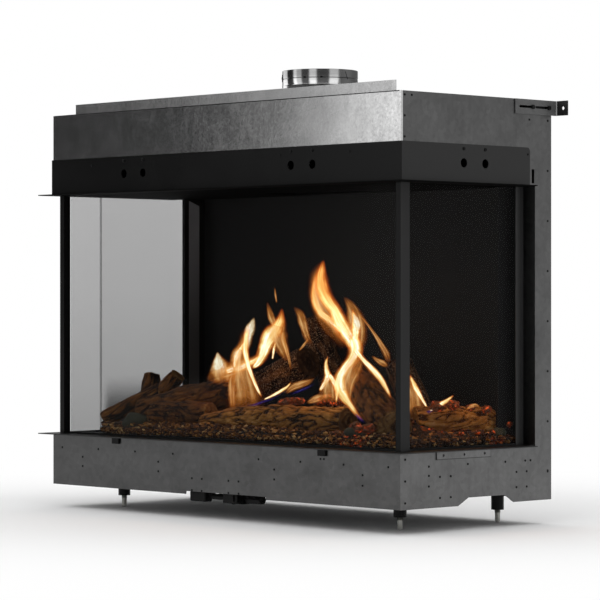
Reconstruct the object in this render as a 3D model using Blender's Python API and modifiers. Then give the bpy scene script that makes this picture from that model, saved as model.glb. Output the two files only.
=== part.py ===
# Three-sided built-in gas fireplace. Metres, +Z up, front towards -Y.
# Origin: centre of the bounding box in plan, on the floor under the levelling feet.
# Depths named "..._back" are measured backwards from the front face of the casing.

import math

import bmesh
import bpy
from mathutils import Matrix, Vector

# Casing
body_width = 1.034
body_depth = 0.422
body_height = 0.782
foot_height = 0.048
sheet = 0.002
seat_gap = 0.0003
corner_return = 0.0052

# Window and chamber
base_height = 0.106
upper_height = 0.1675
rear_column = 0.0475
rear_cavity = 0.042
sill_reach = 0.023
sill_wing_setback = 0.0185

# Levels and planes that follow
window_height = body_height - base_height - upper_height - 2 * sheet
window_depth = body_depth - rear_column
chamber_depth = body_depth - rear_cavity
sill_wing_back = window_depth - sill_wing_setback
side_x = body_width / 2
inner_x = side_x - sheet - seat_gap
bracket_overhang = 0.013
front_y = (sill_reach - body_depth - bracket_overhang) / 2
base_z = foot_height
top_z = base_z + body_height
sill_z = base_z + base_height
sill_top = sill_z + sheet
head_z = sill_top + window_height
head_top = head_z + sheet
window_low = sill_top + seat_gap
window_high = head_z - seat_gap

# Side frame: notch in the lower edge, and the slot behind the trim band
notch_front_back = 0.155
notch_length = 0.157
notch_front_slope = 0.0295
notch_rear_slope = 0.0245
notch_height = 0.015
slit_setback = 0.010
slit_width = 0.0075
slit_height = 0.0275
slit_above_window = 0.004
notch_rear_back = notch_front_back + notch_length
slit_back = window_depth - slit_setback

# Base front: shallow cut-out over the gas controls
cutout_left = -0.090
cutout_right = 0.148
cutout_height = 0.006
cutout_radius = 0.003

# Base floor
floor_up = 0.016
floor_z = base_z + floor_up
floor_top = floor_z + sheet

# Raised lip on the top cover
lip_setback = 0.028
lip_inset = 0.041
lip_height = 0.023
lip_foot = 0.020

# Trim band
band_height = 0.0732
band_overhang = 0.001
band_corner_radius = 0.008
band_hole_radius = 0.009
band_hole_pitch = 0.060
band_hole_drop = 0.036
band_front_pair_x = 0.251
band_side_pair_back = 0.199
band_hole_steps = 18
band_z = head_top + seat_gap
band_hole_up = band_height - band_hole_drop
band_side_length = sill_wing_back + band_overhang

# Corner posts
post_inset = 0.010
post_width = 0.0135
post_depth = 0.017
post_lip = 0.007
post_x = side_x - post_inset
post_inner_x = post_x - post_width
post_rear_back = post_inset + post_depth

# Rear glass strips
strip_inset = 0.023
strip_setback = 0.0305
strip_width = 0.022
strip_lap = 0.008
strip_x = side_x - strip_inset
strip_front_back = window_depth - strip_setback

# Glass and its rail
glass_thickness = 0.004
front_pane_setback = 0.011
rail_height = 0.0035
rail_front_width = 0.008
rail_side_width = 0.0082
front_pane_back = post_inset + front_pane_setback
side_pane_x = strip_x - sheet - seat_gap
side_pane_back = post_rear_back + seat_gap
rail_x = post_inner_x - seat_gap
glass_z = window_low + rail_height + seat_gap

# Rear jambs with their lining
jamb_inset = 0.050
jamb_thickness = 0.006
jamb_depth = 0.058
lining_setback = 0.012
lining_width = 0.030
lining_thickness = 0.001
lining_bite = 0.0005
lining_top_drop = 0.004
lining_slant = 0.011
jamb_x = side_x - jamb_inset
jamb_inner_x = jamb_x - jamb_thickness
jamb_front_back = chamber_depth - jamb_depth
lining_front_back = jamb_front_back + lining_setback

# Burner
burner_length = 0.600
burner_width = 0.130
pan_clearance = 0.001
pan_wall = 0.0015
pan_depth = 0.055
pan_rim = 0.008
deck_lap = 0.004
port_length = 0.040
port_width = 0.005
port_margin = 0.042
port_columns = 9
port_row_offset = 0.032
inlet_radius = 0.006
burner_back = chamber_depth / 2
port_pitch = (burner_length - port_margin) / port_columns
pan_floor_z = sill_top - pan_depth
deck_z = window_low + pan_wall + seat_gap
deck_top = deck_z + pan_wall

# Pilot burner inside the pan
pilot_radius = 0.006
pilot_tip_radius = 0.0035
pilot_height = 0.044
pilot_tip_height = 0.008
pilot_x = 0.240

# Ember bed
bed_thickness = 0.0105
bed_dip = 0.004
bed_margin = 0.004
bed_columns = 34
bed_rows = 12
bed_bottom = deck_top + seat_gap
bed_top = bed_bottom + bed_thickness
bed_wide_x = rail_x - rail_side_width - bed_margin
bed_narrow_x = jamb_inner_x - lining_thickness - bed_margin
bed_front_back = post_rear_back + bed_margin
bed_step_back = jamb_front_back - bed_margin
bed_rear_back = chamber_depth - 2 * seat_gap
bed_depth = bed_rear_back - bed_front_back

# Flue
flue_inset = 0.090
collar_radius = 0.078
collar_wall = 0.0015
collar_height = 0.081
collar_spigot = 0.012
collar_flange = 0.012
bead_reach = 0.0012
bead_half = 0.002
bead_drops = (0.0165, 0.030)
flue_radius = 0.050
flue_recess = 0.005
flue_spigot = 0.010
flue_flange = 0.008
flue_clearance = 0.0004
hood_length = 0.300
hood_width = 0.150
hood_height = 0.070
outlet_length = 0.240
outlet_width = 0.090
round_steps = 40
flue_back = chamber_depth - flue_inset
flue_y = front_y + flue_back
hood_z = head_top + seat_gap
hood_top = hood_z + hood_height
collar_top = top_z + collar_height

# Wall brackets and the studs they slide on
bracket_lap = 0.107
bracket_height = 0.029
bracket_leg = 0.0324
bracket_hole_radius = 0.0035
bracket_hole_inset = 0.0118
slot_length = 0.041
slot_height = 0.0048
slot_inset = 0.0315
slot_pitch = 0.047
stud_radius = 0.002
stud_clearance = 0.0003
stud_head_radius = 0.0042
stud_head_height = 0.003
backing_margin = 0.012
backing_height = 0.014
bracket_front_back = body_depth - bracket_lap
bracket_length = bracket_lap + bracket_overhang
slot_centres_back = (bracket_front_back + slot_inset, bracket_front_back + slot_inset + slot_pitch)
slot_z = top_z - bracket_height / 2
bracket_x = side_x + seat_gap

# Side tabs and front clips under the lower sill
tab_front_back = 0.095
tab_length = 0.150
tab_height = 0.0157
tab_hole_radius = 0.0025
tab_hole_inset = 0.018
clip_x = 0.3075
clip_width = 0.022
clip_height = 0.013
clip_thickness = 0.004
clip_bevel = 0.001

# Levelling feet
foot_inset = 0.107
foot_front_back = 0.107
foot_rear_inset = 0.039
foot_rear_back = body_depth - foot_rear_inset
sleeve_radius = 0.0128
sleeve_drop = 0.024
stud_shank_radius = 0.006
stud_bore_clearance = 0.0003
stud_length = 0.050
stud_chamfer = 0.001
stud_taper_height = 0.018
stud_foot_radius = 0.0052
floor_hole_radius = 0.008
foot_steps = 20

# Gas controls hanging under the base floor
receiver_x = -0.079
receiver_width = 0.048
receiver_depth = 0.020
receiver_height = 0.0317
control_front_back = 0.022
control_bevel = 0.003
valve_x = 0.027
valve_width = 0.058
valve_depth = 0.026
valve_height = 0.0305
union_radius = 0.010
union_length = 0.045
union_bore_radius = 0.005
union_sides = 6
stub_radius = 0.006
stub_length = 0.044
union_drop = 0.020
knob_radius = 0.012
knob_length = 0.010
knob_grip_width = 0.005
knob_grip_height = 0.003
knob_offset = 0.013
knob_drop = 0.019
control_seat_z = floor_z - seat_gap

# Supply pipe from the valve up to the burner pan
pipe_radius = 0.004
pipe_bend = 0.010
pipe_hole_radius = 0.006
pipe_x = 0.020
pipe_back = 0.036
pipe_level_up = 0.006

# Ceramic logs: the set is sized by the chamber, and its places and radii are shares of that size.
# Each log has its two ends (sideways, backwards from the middle of the burner, up from the bed),
# its radius at each end, and where its ripples start.
log_sides = 14
log_rings = 7
log_ripple_share = 0.07
log_knot_share = 0.05
log_bend_share = 0.10
log_merge_distance = 0.0001
log_depth_share = 1.31
fork_sides = 8
fork_rings = 2
log_unit = min(bed_narrow_x, log_depth_share * bed_depth)
fork_shares = (
    ((-0.987, -0.230, 0.029), (-0.735, -0.026, 0.202), 0.039, 0.035, 0.4),
    ((-0.829, -0.066, 0.110), (-0.899, -0.018, 0.237), 0.044, 0.037, 1.1),
    ((-0.772, -0.048, 0.158), (-0.697, -0.018, 0.259), 0.042, 0.035, 2.0),
)
log_shares = {
    "brown_log": ((-0.735, -0.197, 0.053), (-0.208, -0.039, 0.197), 0.079, 0.066, 0.0),
    "front_bark_log": ((-0.329, -0.252, 0.066), (0.610, -0.208, 0.070), 0.072, 0.066, 1.7),
    "inclined_log": ((-0.636, 0.127, 0.057), (0.000, 0.143, 0.311), 0.066, 0.070, 2.6),
    "upright_log": ((0.114, 0.305, 0.022), (-0.143, 0.322, 0.493), 0.061, 0.066, 3.5),
    "right_log": ((0.904, -0.230, 0.039), (0.439, 0.011, 0.268), 0.081, 0.072, 4.3),
    "rear_right_log": ((0.658, 0.224, 0.035), (0.471, 0.246, 0.307), 0.064, 0.059, 5.2),
    "right_bark_log": ((0.772, 0.039, 0.061), (0.932, 0.307, 0.061), 0.068, 0.061, 0.9),
}
charred_logs = ("inclined_log", "upright_log", "rear_right_log")

overrun = 0.010
merge_distance = 0.00001
curve_steps = 6
pipe_steps = 8

galvanised = ((0.45, 0.46, 0.47), 0.35, 1.0)
dark_galvanised = ((0.13, 0.13, 0.135), 0.45, 1.0)
black_paint = ((0.012, 0.012, 0.012), 0.45, 0.0)
black_lining = ((0.010, 0.010, 0.011), 0.30, 0.0)
clear_glass = ((0.75, 0.76, 0.76), 0.02, 0.0)
bright_steel = ((0.75, 0.75, 0.76), 0.18, 1.0)
zinc_plate = ((0.35, 0.35, 0.36), 0.30, 1.0)
brass_look = ((0.55, 0.40, 0.14), 0.30, 1.0)
bark_brown = ((0.12, 0.055, 0.020), 0.85, 0.0)
charred_brown = ((0.05, 0.022, 0.010), 0.90, 0.0)
ember_brown = ((0.22, 0.06, 0.02), 0.70, 0.0)
black_plastic = ((0.02, 0.02, 0.02), 0.50, 0.0)


def clear_scene():
    for item in list(bpy.data.objects):
        bpy.data.objects.remove(item, do_unlink=True)


def new_collection(name):
    collection = bpy.data.collections.new(name)
    bpy.context.scene.collection.children.link(collection)
    return collection


def move_to(item, collection):
    for owner in list(item.users_collection):
        owner.objects.unlink(item)
    collection.objects.link(item)


def paint(item, look):
    colour, roughness, metallic = look
    material = bpy.data.materials.new(item.name + "_finish")
    material.use_nodes = True
    shader = material.node_tree.nodes["Principled BSDF"]
    shader.inputs["Base Color"].default_value = (*colour, 1.0)
    shader.inputs["Roughness"].default_value = roughness
    shader.inputs["Metallic"].default_value = metallic
    item.data.materials.clear()
    item.data.materials.append(material)


def keep(item, name, look):
    item.name = name
    item.data.name = name
    move_to(item, parts)
    paint(item, look)
    return item


def box(low, high):
    centre = (Vector(low) + Vector(high)) / 2
    bpy.ops.mesh.primitive_cube_add(size=1, location=centre)
    item = bpy.context.object
    item.scale = Vector(high) - Vector(low)
    bpy.ops.object.transform_apply(location=False, rotation=False, scale=True)
    return item


def cylinder(radius, length, centre, axis, sides=curve_steps * 2):
    turn = {"X": (0, math.pi / 2, 0), "Y": (math.pi / 2, 0, 0), "Z": (0, 0, 0)}[axis]
    bpy.ops.mesh.primitive_cylinder_add(vertices=sides, radius=radius, depth=length, location=centre,
                                        rotation=turn)
    return bpy.context.object


def circle_points(centre, radius, steps=curve_steps * 2):
    angles = [2 * math.pi * step / steps for step in range(steps)]
    return [(centre[0] + radius * math.cos(a), centre[1] + radius * math.sin(a)) for a in angles]


def slot_points(centre, length, height):
    radius = height / 2
    reach = length / 2 - radius
    points = []
    for side, start in ((1, -math.pi / 2), (-1, math.pi / 2)):
        for step in range(curve_steps + 1):
            angle = start + math.pi * step / curve_steps
            across = side * reach + radius * math.cos(angle)
            points.append((centre[0] + across, centre[1] + radius * math.sin(angle)))
    return points


def corner_arc(centre, radius, start):
    angles = [start + math.pi / 2 * step / curve_steps for step in range(curve_steps + 1)]
    return [(centre[0] + radius * math.cos(a), centre[1] + radius * math.sin(a)) for a in angles]


def rectangle(low, high):
    return [(low[0], low[1]), (high[0], low[1]), (high[0], high[1]), (low[0], high[1])]


def to_mesh(item):
    bpy.context.view_layer.update()
    mesh = bpy.data.meshes.new_from_object(item.evaluated_get(bpy.context.evaluated_depsgraph_get()))
    shape = bmesh.new()
    shape.from_mesh(mesh)
    bmesh.ops.remove_doubles(shape, verts=shape.verts, dist=merge_distance)
    bmesh.ops.recalc_face_normals(shape, faces=shape.faces)
    shape.to_mesh(mesh)
    shape.free()
    solid = bpy.data.objects.new(item.name, mesh)
    bpy.context.scene.collection.objects.link(solid)
    solid.matrix_world = item.matrix_world
    bpy.data.objects.remove(item, do_unlink=True)
    return solid


# A sheet cut from a flat outline: plane "xy" lies flat, "xz" faces the front, "yz" faces the side.
def flat(outline, thickness, plane, place, holes=()):
    curve = bpy.data.curves.new("outline", "CURVE")
    curve.dimensions = "2D"
    curve.fill_mode = "BOTH"
    curve.extrude = thickness / 2
    for points in (outline, *holes):
        spline = curve.splines.new("POLY")
        spline.points.add(len(points) - 1)
        for point, (across, up) in zip(spline.points, points):
            point.co = (across, up, 0, 1)
        spline.use_cyclic_u = True
    item = bpy.data.objects.new("outline", curve)
    bpy.context.scene.collection.objects.link(item)
    item.location = place
    quarter = math.pi / 2
    item.rotation_euler = {"xy": (0, 0, 0), "xz": (quarter, 0, 0), "yz": (quarter, 0, quarter)}[plane]
    return to_mesh(item)


# A turned piece: the profile holds (radius, height) pairs, down the outer side first.
def turned(profile, place, steps, closed):
    mesh = bpy.data.meshes.new("profile")
    edges = [(i, i + 1) for i in range(len(profile) - 1)]
    if closed:
        edges.append((len(profile) - 1, 0))
    mesh.from_pydata([(radius, 0, height) for radius, height in profile], edges, [])
    item = bpy.data.objects.new("profile", mesh)
    bpy.context.scene.collection.objects.link(item)
    item.location = place
    screw = item.modifiers.new("turn", "SCREW")
    screw.steps = steps
    screw.render_steps = steps
    screw.use_merge_vertices = True
    screw.merge_threshold = merge_distance
    screw.use_normal_calculate = True
    return smooth(to_mesh(item))


def smooth(item):
    item.data.shade_smooth()
    item.data.set_sharp_from_angle(angle=math.radians(35))
    return item


def tube(points, radius):
    curve = bpy.data.curves.new("tube", "CURVE")
    curve.dimensions = "3D"
    curve.bevel_depth = radius
    curve.bevel_resolution = 2
    curve.use_fill_caps = True
    spline = curve.splines.new("POLY")
    spline.points.add(len(points) - 1)
    for point, place in zip(spline.points, points):
        point.co = (*place, 1)
    item = bpy.data.objects.new("tube", curve)
    bpy.context.scene.collection.objects.link(item)
    return smooth(to_mesh(item))


def combine(item, tools, operation):
    for tool in tools:
        move_to(tool, cutters)
        tool.display_type = "WIRE"
        tool.hide_render = True
        modifier = item.modifiers.new(operation.lower(), "BOOLEAN")
        modifier.operation = operation
        modifier.object = tool
        modifier.solver = "EXACT"
    return item


def soften(item, width):
    bevel = item.modifiers.new("edges", "BEVEL")
    bevel.width = width
    bevel.segments = 2
    bevel.limit_method = "ANGLE"
    return item


def span(side, inner, outer):
    return (min(side * inner, side * outer), max(side * inner, side * outer))


# Casing
def band_front_holes():
    return [side * band_front_pair_x + end * band_hole_pitch / 2 for side in (-1, 1) for end in (-1, 1)]


def band_side_holes():
    return [band_side_pair_back + end * band_hole_pitch / 2 for end in (-1, 1)]


def side_frame(name, side):
    band_base = head_top + seat_gap - base_z
    arm = base_height - seat_gap
    outline = [
        (0, 0),
        (notch_front_back, 0),
        (notch_front_back + notch_front_slope, notch_height),
        (notch_rear_back - notch_rear_slope, notch_height),
        (notch_rear_back, 0),
        (body_depth, 0),
        (body_depth, body_height),
        (corner_return + seat_gap, body_height),
        (corner_return + seat_gap, band_base),
        (window_depth, band_base),
        (window_depth, arm),
        (0, arm),
    ]
    slit_low = band_base + slit_above_window
    holes = [rectangle((slit_back, slit_low), (slit_back + slit_width, slit_low + slit_height))]
    for slot_back in slot_centres_back:
        holes.append(slot_points((slot_back, slot_z - base_z), slot_length, slot_height))
    for hole_back in band_side_holes():
        holes.append(circle_points((hole_back, band_base + band_hole_up), band_hole_radius, band_hole_steps))
    place = (side * (side_x - sheet / 2), front_y, base_z)
    keep(flat(outline, sheet, "yz", place, holes), name, dark_galvanised)


def base_front_panel():
    top = base_height - seat_gap
    outline = [(-inner_x, 0), (cutout_left, 0)]
    outline.extend(reversed(corner_arc((cutout_left + cutout_radius, cutout_height - cutout_radius),
                                       cutout_radius, math.pi / 2)))
    outline.extend(reversed(corner_arc((cutout_right - cutout_radius, cutout_height - cutout_radius),
                                       cutout_radius, 0)))
    outline.extend([(cutout_right, 0), (inner_x, 0), (inner_x, top), (-inner_x, top)])
    place = (0, front_y + sheet / 2, base_z)
    keep(flat(outline, sheet, "xz", place), "base_front_panel", dark_galvanised)


def upper_front_panel():
    low = head_top + seat_gap
    inside = side_x - sheet
    outline = [
        (-side_x, 0), (side_x, 0), (side_x, corner_return), (inside, corner_return),
        (inside, sheet), (-inside, sheet), (-inside, corner_return), (-side_x, corner_return),
    ]
    place = (0, front_y, (low + top_z) / 2)
    panel = flat(outline, top_z - low, "xy", place)
    holes = []
    for x in band_front_holes():
        centre = (x, front_y, band_z + band_hole_up)
        holes.append(cylinder(band_hole_radius, 2 * (sheet + overrun), centre, "Y", band_hole_steps))
    keep(combine(panel, holes, "DIFFERENCE"), "upper_front_panel", galvanised)


def top_cover():
    outline = rectangle((-inner_x, sheet + seat_gap), (inner_x, body_depth - sheet - seat_gap))
    hole = circle_points((0, flue_back), collar_radius + flue_clearance, round_steps)
    place = (0, front_y, top_z - sheet / 2)
    keep(flat(outline, sheet, "xy", place, [hole]), "top_cover", dark_galvanised)


def top_lip():
    outline = [(0, 0), (lip_foot, 0), (lip_foot, sheet), (sheet, sheet), (sheet, lip_height), (0, lip_height)]
    place = (0, front_y + lip_setback, top_z + seat_gap)
    keep(flat(outline, body_width - 2 * lip_inset, "yz", place), "top_lip", galvanised)


def rear_panel():
    back = front_y + body_depth
    keep(box((-inner_x, back - sheet, base_z), (inner_x, back, top_z)), "rear_panel", dark_galvanised)


def base_floor():
    outline = rectangle((-inner_x, sheet + seat_gap), (inner_x, body_depth - sheet - seat_gap))
    holes = [circle_points((x, back), floor_hole_radius) for _, x, back in foot_places()]
    holes.append(circle_points((pipe_x, pipe_back), pipe_hole_radius))
    place = (0, front_y, floor_z + sheet / 2)
    keep(flat(outline, sheet, "xy", place, holes), "base_floor", dark_galvanised)


# Trim band round the head of the window
def trim_band_front():
    half = side_x + seat_gap + sheet
    holes = [circle_points((x, band_hole_up), band_hole_radius, band_hole_steps) for x in band_front_holes()]
    outline = rectangle((-half, 0), (half, band_height))
    place = (0, front_y - seat_gap - sheet / 2, band_z)
    keep(flat(outline, sheet, "xz", place, holes), "trim_band_front", black_paint)


def trim_band_side(name, side):
    radius = band_corner_radius
    outline = [(0, 0), (band_side_length, 0)]
    outline.extend(corner_arc((band_side_length - radius, band_height - radius), radius, 0))
    outline.append((0, band_height))
    holes = []
    for back in band_side_holes():
        holes.append(circle_points((back, band_hole_up), band_hole_radius, band_hole_steps))
    place = (side * (bracket_x + sheet / 2), front_y, band_z)
    keep(flat(outline, sheet, "yz", place, holes), name, black_paint)


# Thin sill plates that stand out on the three open sides
def sill_plate(name, low, holes):
    wing = side_x + sill_reach
    rear = chamber_depth + 2 * sheet
    outline = [
        (-wing, -sill_reach), (wing, -sill_reach), (wing, sill_wing_back), (inner_x, sill_wing_back),
        (inner_x, rear), (-inner_x, rear), (-inner_x, sill_wing_back), (-wing, sill_wing_back),
    ]
    place = (0, front_y, low + sheet / 2)
    keep(flat(outline, sheet, "xy", place, holes), name, black_paint)


def sill_plates():
    half = (burner_length / 2, burner_width / 2)
    burner_hole = rectangle((-half[0], burner_back - half[1]), (half[0], burner_back + half[1]))
    sill_plate("lower_sill_plate", sill_z, [burner_hole])
    half = (outlet_length / 2, outlet_width / 2)
    outlet = rectangle((-half[0], flue_back - half[1]), (half[0], flue_back + half[1]))
    sill_plate("upper_sill_plate", head_z, [outlet])


# Window: posts, strips, glass and rail
def corner_post(name, side):
    outline = [
        (0, 0), (0, post_depth + post_lip), (-side * sheet, post_depth + post_lip),
        (-side * sheet, post_depth), (-side * post_width, post_depth), (-side * post_width, 0),
    ]
    place = (side * post_x, front_y + post_inset, (window_low + window_high) / 2)
    keep(flat(outline, window_high - window_low, "xy", place), name, black_paint)


def rear_glass_strip(name, side):
    x = span(side, strip_x - sheet, strip_x)
    front = front_y + strip_front_back
    keep(box((x[0], front, window_low), (x[1], front + strip_width, window_high)), name, black_paint)


def front_glass():
    front = front_y + front_pane_back
    pane = box((-rail_x, front, glass_z), (rail_x, front + glass_thickness, window_high))
    keep(pane, "front_glass", clear_glass)


def side_glass(name, side):
    x = span(side, side_pane_x - glass_thickness, side_pane_x)
    front = front_y + side_pane_back
    back = front_y + strip_front_back + strip_lap
    keep(box((x[0], front, glass_z), (x[1], back, window_high)), name, clear_glass)


def glass_rail():
    front = post_rear_back - rail_front_width
    rear = strip_front_back - seat_gap
    inside = rail_x - rail_side_width
    outline = [
        (-rail_x, front), (rail_x, front), (rail_x, rear), (inside, rear),
        (inside, post_rear_back), (-inside, post_rear_back), (-inside, rear), (-rail_x, rear),
    ]
    place = (0, front_y, window_low + rail_height / 2)
    keep(flat(outline, rail_height, "xy", place), "glass_rail", black_paint)


# Chamber walls
def firebox_back():
    x = jamb_inner_x - seat_gap
    front = front_y + chamber_depth
    keep(box((-x, front, window_low), (x, front + sheet, window_high)), "firebox_back", black_lining)


def firebox_jamb(name, side):
    x = span(side, jamb_inner_x, jamb_x)
    wall = box((x[0], front_y + jamb_front_back, window_low),
               (x[1], front_y + chamber_depth + sheet, window_high))
    low = sheet
    high = window_high - window_low - lining_top_drop
    outline = [(0, low), (lining_width, low), (lining_width, high - lining_slant), (0, high)]
    thickness = lining_thickness + lining_bite
    middle = side * (jamb_inner_x + lining_bite - thickness / 2)
    lining = flat(outline, thickness, "yz", (middle, front_y + lining_front_back, window_low))
    keep(combine(wall, [lining], "UNION"), name, black_lining)


# Burner
def burner_pan():
    half_x = burner_length / 2 - pan_clearance
    half_y = burner_width / 2 - pan_clearance
    centre = front_y + burner_back
    rim_z = window_low
    body = box((-half_x, centre - half_y, pan_floor_z), (half_x, centre + half_y, rim_z + pan_wall / 2))
    rim_x = burner_length / 2 + pan_rim
    rim_y = burner_width / 2 + pan_rim
    rim = box((-rim_x, centre - rim_y, rim_z), (rim_x, centre + rim_y, rim_z + pan_wall))
    hollow = box((-half_x + pan_wall, centre - half_y + pan_wall, pan_floor_z + pan_wall),
                 (half_x - pan_wall, centre + half_y - pan_wall, rim_z + overrun))
    inlet = cylinder(inlet_radius, pan_wall + 2 * overrun, (pipe_x, centre, pan_floor_z), "Z")
    combine(body, [rim], "UNION")
    keep(combine(body, [hollow, inlet], "DIFFERENCE"), "burner_pan", zinc_plate)


def burner_deck():
    half_x = burner_length / 2 + deck_lap
    half_y = burner_width / 2 + deck_lap
    ports = []
    for column in range(port_columns):
        x = (column - (port_columns - 1) / 2) * port_pitch
        for row in (-1, 1):
            y = row * port_row_offset
            low = (x - port_length / 2, y - port_width / 2)
            ports.append(rectangle(low, (x + port_length / 2, y + port_width / 2)))
    place = (0, front_y + burner_back, deck_z + pan_wall / 2)
    outline = rectangle((-half_x, -half_y), (half_x, half_y))
    keep(flat(outline, pan_wall, "xy", place, ports), "burner_deck", zinc_plate)


def pilot_burner():
    foot = pan_floor_z + pan_wall + seat_gap
    body = pilot_height - pilot_tip_height
    profile = [(0, pilot_height), (pilot_tip_radius, pilot_height), (pilot_tip_radius, body),
               (pilot_radius, body), (pilot_radius, 0), (0, 0)]
    place = (pilot_x, front_y + burner_back, foot)
    keep(turned(profile, place, curve_steps * 2, False), "pilot_burner", brass_look)


def supply_pipe():
    start_y = front_y + pipe_back
    end_y = front_y + burner_back
    level = floor_top + pipe_level_up + pipe_bend
    points = [(pipe_x, start_y, floor_z)]
    for step in range(pipe_steps + 1):
        angle = math.pi / 2 * step / pipe_steps
        rise = pipe_bend * math.sin(angle)
        points.append((pipe_x, start_y + pipe_bend * (1 - math.cos(angle)), level - pipe_bend + rise))
    for step in range(pipe_steps + 1):
        angle = math.pi / 2 * step / pipe_steps
        run = pipe_bend * math.sin(angle)
        points.append((pipe_x, end_y - pipe_bend + run, level + pipe_bend * (1 - math.cos(angle))))
    points.append((pipe_x, end_y, pan_floor_z - seat_gap))
    keep(tube(points, pipe_radius), "supply_pipe", bright_steel)


# Ember bed: a slab that leaves room for the jambs, with an uneven top whose crests carry the logs
def ember_bed():
    middle = (bed_front_back + bed_rear_back) / 2
    bpy.ops.mesh.primitive_grid_add(x_subdivisions=bed_columns, y_subdivisions=bed_rows, size=1,
                                    location=(0, front_y + middle, bed_bottom))
    item = bpy.context.object
    shape = bmesh.new()
    shape.from_mesh(item.data)
    columns = bed_columns / 2
    step_row = round((bed_step_back - bed_front_back) / bed_depth * bed_rows)
    for vertex in shape.verts:
        column = round(vertex.co.x * bed_columns)
        row = round((vertex.co.y + 1 / 2) * bed_rows)
        edge_share = abs(column) / columns
        inner_share = (columns - 1) / columns
        reach = bed_wide_x if abs(column) == columns else bed_narrow_x * edge_share / inner_share
        vertex.co.x = math.copysign(reach, column) if column else 0
        if row <= step_row:
            back = bed_front_back + (bed_step_back - bed_front_back) * row / step_row
        else:
            back = bed_step_back + (bed_rear_back - bed_step_back) * (row - step_row) / (bed_rows - step_row)
        vertex.co.y = back - middle
        dip = math.sin(column * 2.4) * math.cos(row * 2.1) + math.sin(column * 1.1 + row * 1.7) - 0.5
        vertex.co.z = bed_thickness - bed_dip * min(max(dip, 0), 1)
    corners = []
    for face in shape.faces:
        centre = face.calc_center_median()
        if abs(centre.x) > bed_narrow_x and centre.y > bed_step_back - middle:
            corners.append(face)
    bmesh.ops.delete(shape, geom=corners, context="FACES")
    grown = bmesh.ops.extrude_face_region(shape, geom=shape.faces[:])
    for element in grown["geom"]:
        if isinstance(element, bmesh.types.BMVert):
            element.co.z = 0
    bmesh.ops.recalc_face_normals(shape, faces=shape.faces)
    shape.to_mesh(item.data)
    shape.free()
    keep(item, "ember_bed", ember_brown)


# A log: a cylinder with rippled bark, slightly bent, cut flat where it lies on the embers
def log_shape(start, end, radius_start, radius_end, phase, sides=log_sides, rings=log_rings):
    shape = bmesh.new()
    bmesh.ops.create_cone(shape, cap_ends=True, segments=sides, radius1=1, radius2=1, depth=1)
    long_edges = [edge for edge in shape.edges if abs(edge.verts[0].co.z - edge.verts[1].co.z) > 1 / 2]
    bmesh.ops.subdivide_edges(shape, edges=long_edges, cuts=rings, use_grid_fill=True)
    axis = Vector(end) - Vector(start)
    for vertex in shape.verts:
        along = vertex.co.z + 1 / 2
        angle = math.atan2(vertex.co.y, vertex.co.x)
        ripple = 1 + log_ripple_share * math.sin(3 * angle + phase + 2 * along)
        ripple += log_knot_share * math.sin(5 * angle + 9 * along + 2 * phase)
        radius = (radius_start + (radius_end - radius_start) * along) * ripple
        bend = radius_start * log_bend_share * math.sin(math.pi * along)
        vertex.co = (radius * math.cos(angle) + bend, radius * math.sin(angle), along * axis.length)
    turn = axis.to_track_quat("Z", "Y").to_matrix()
    seat = Vector((0, 0, bed_top + seat_gap - start[2]))
    cut = bmesh.ops.bisect_plane(shape, geom=shape.verts[:] + shape.edges[:] + shape.faces[:],
                                 plane_co=turn.transposed() @ seat,
                                 plane_no=turn.transposed() @ Vector((0, 0, 1)), clear_inner=True)
    rim = [element for element in cut["geom_cut"] if isinstance(element, bmesh.types.BMEdge)]
    if rim:
        bmesh.ops.holes_fill(shape, edges=rim)
    bmesh.ops.remove_doubles(shape, verts=shape.verts, dist=log_merge_distance)
    bmesh.ops.recalc_face_normals(shape, faces=shape.faces)
    mesh = bpy.data.meshes.new("log")
    shape.to_mesh(mesh)
    shape.free()
    item = bpy.data.objects.new("log", mesh)
    bpy.context.scene.collection.objects.link(item)
    item.matrix_world = Matrix.Translation(start) @ turn.to_4x4()
    return smooth(item)


def log_from_shares(row, sides=log_sides, rings=log_rings):
    start, end, radius_start, radius_end, phase = row
    centre = Vector((0, front_y + burner_back, bed_top))
    low = centre + Vector(start) * log_unit
    high = centre + Vector(end) * log_unit
    return log_shape(low, high, radius_start * log_unit, radius_end * log_unit, phase, sides, rings)


def logs():
    trunk, *branches = [log_from_shares(row, fork_sides, fork_rings) for row in fork_shares]
    keep(combine(trunk, branches, "UNION"), "forked_log", bark_brown)
    for name, row in log_shares.items():
        keep(log_from_shares(row), name, charred_brown if name in charred_logs else bark_brown)


# Flue
def flue_hood():
    half_x = hood_length / 2
    half_y = hood_width / 2
    shell = box((-half_x, flue_y - half_y, hood_z), (half_x, flue_y + half_y, hood_top))
    hollow = box((-half_x + sheet, flue_y - half_y + sheet, hood_z - overrun),
                 (half_x - sheet, flue_y + half_y - sheet, hood_top - sheet))
    outlet = cylinder(flue_radius + flue_clearance, 2 * (sheet + overrun), (0, flue_y, hood_top), "Z",
                      round_steps)
    keep(combine(shell, [hollow, outlet], "DIFFERENCE"), "flue_hood", dark_galvanised)


def inner_flue():
    low = hood_top - flue_spigot
    high = collar_top - flue_recess
    seat = hood_top + seat_gap
    inside = flue_radius - collar_wall
    rim = flue_radius + flue_flange
    profile = [
        (flue_radius, high), (flue_radius, seat + collar_wall), (rim, seat + collar_wall), (rim, seat),
        (flue_radius, seat), (flue_radius, low), (inside, low), (inside, high),
    ]
    keep(turned(profile, (0, flue_y, 0), round_steps, True), "inner_flue", bright_steel)


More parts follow.
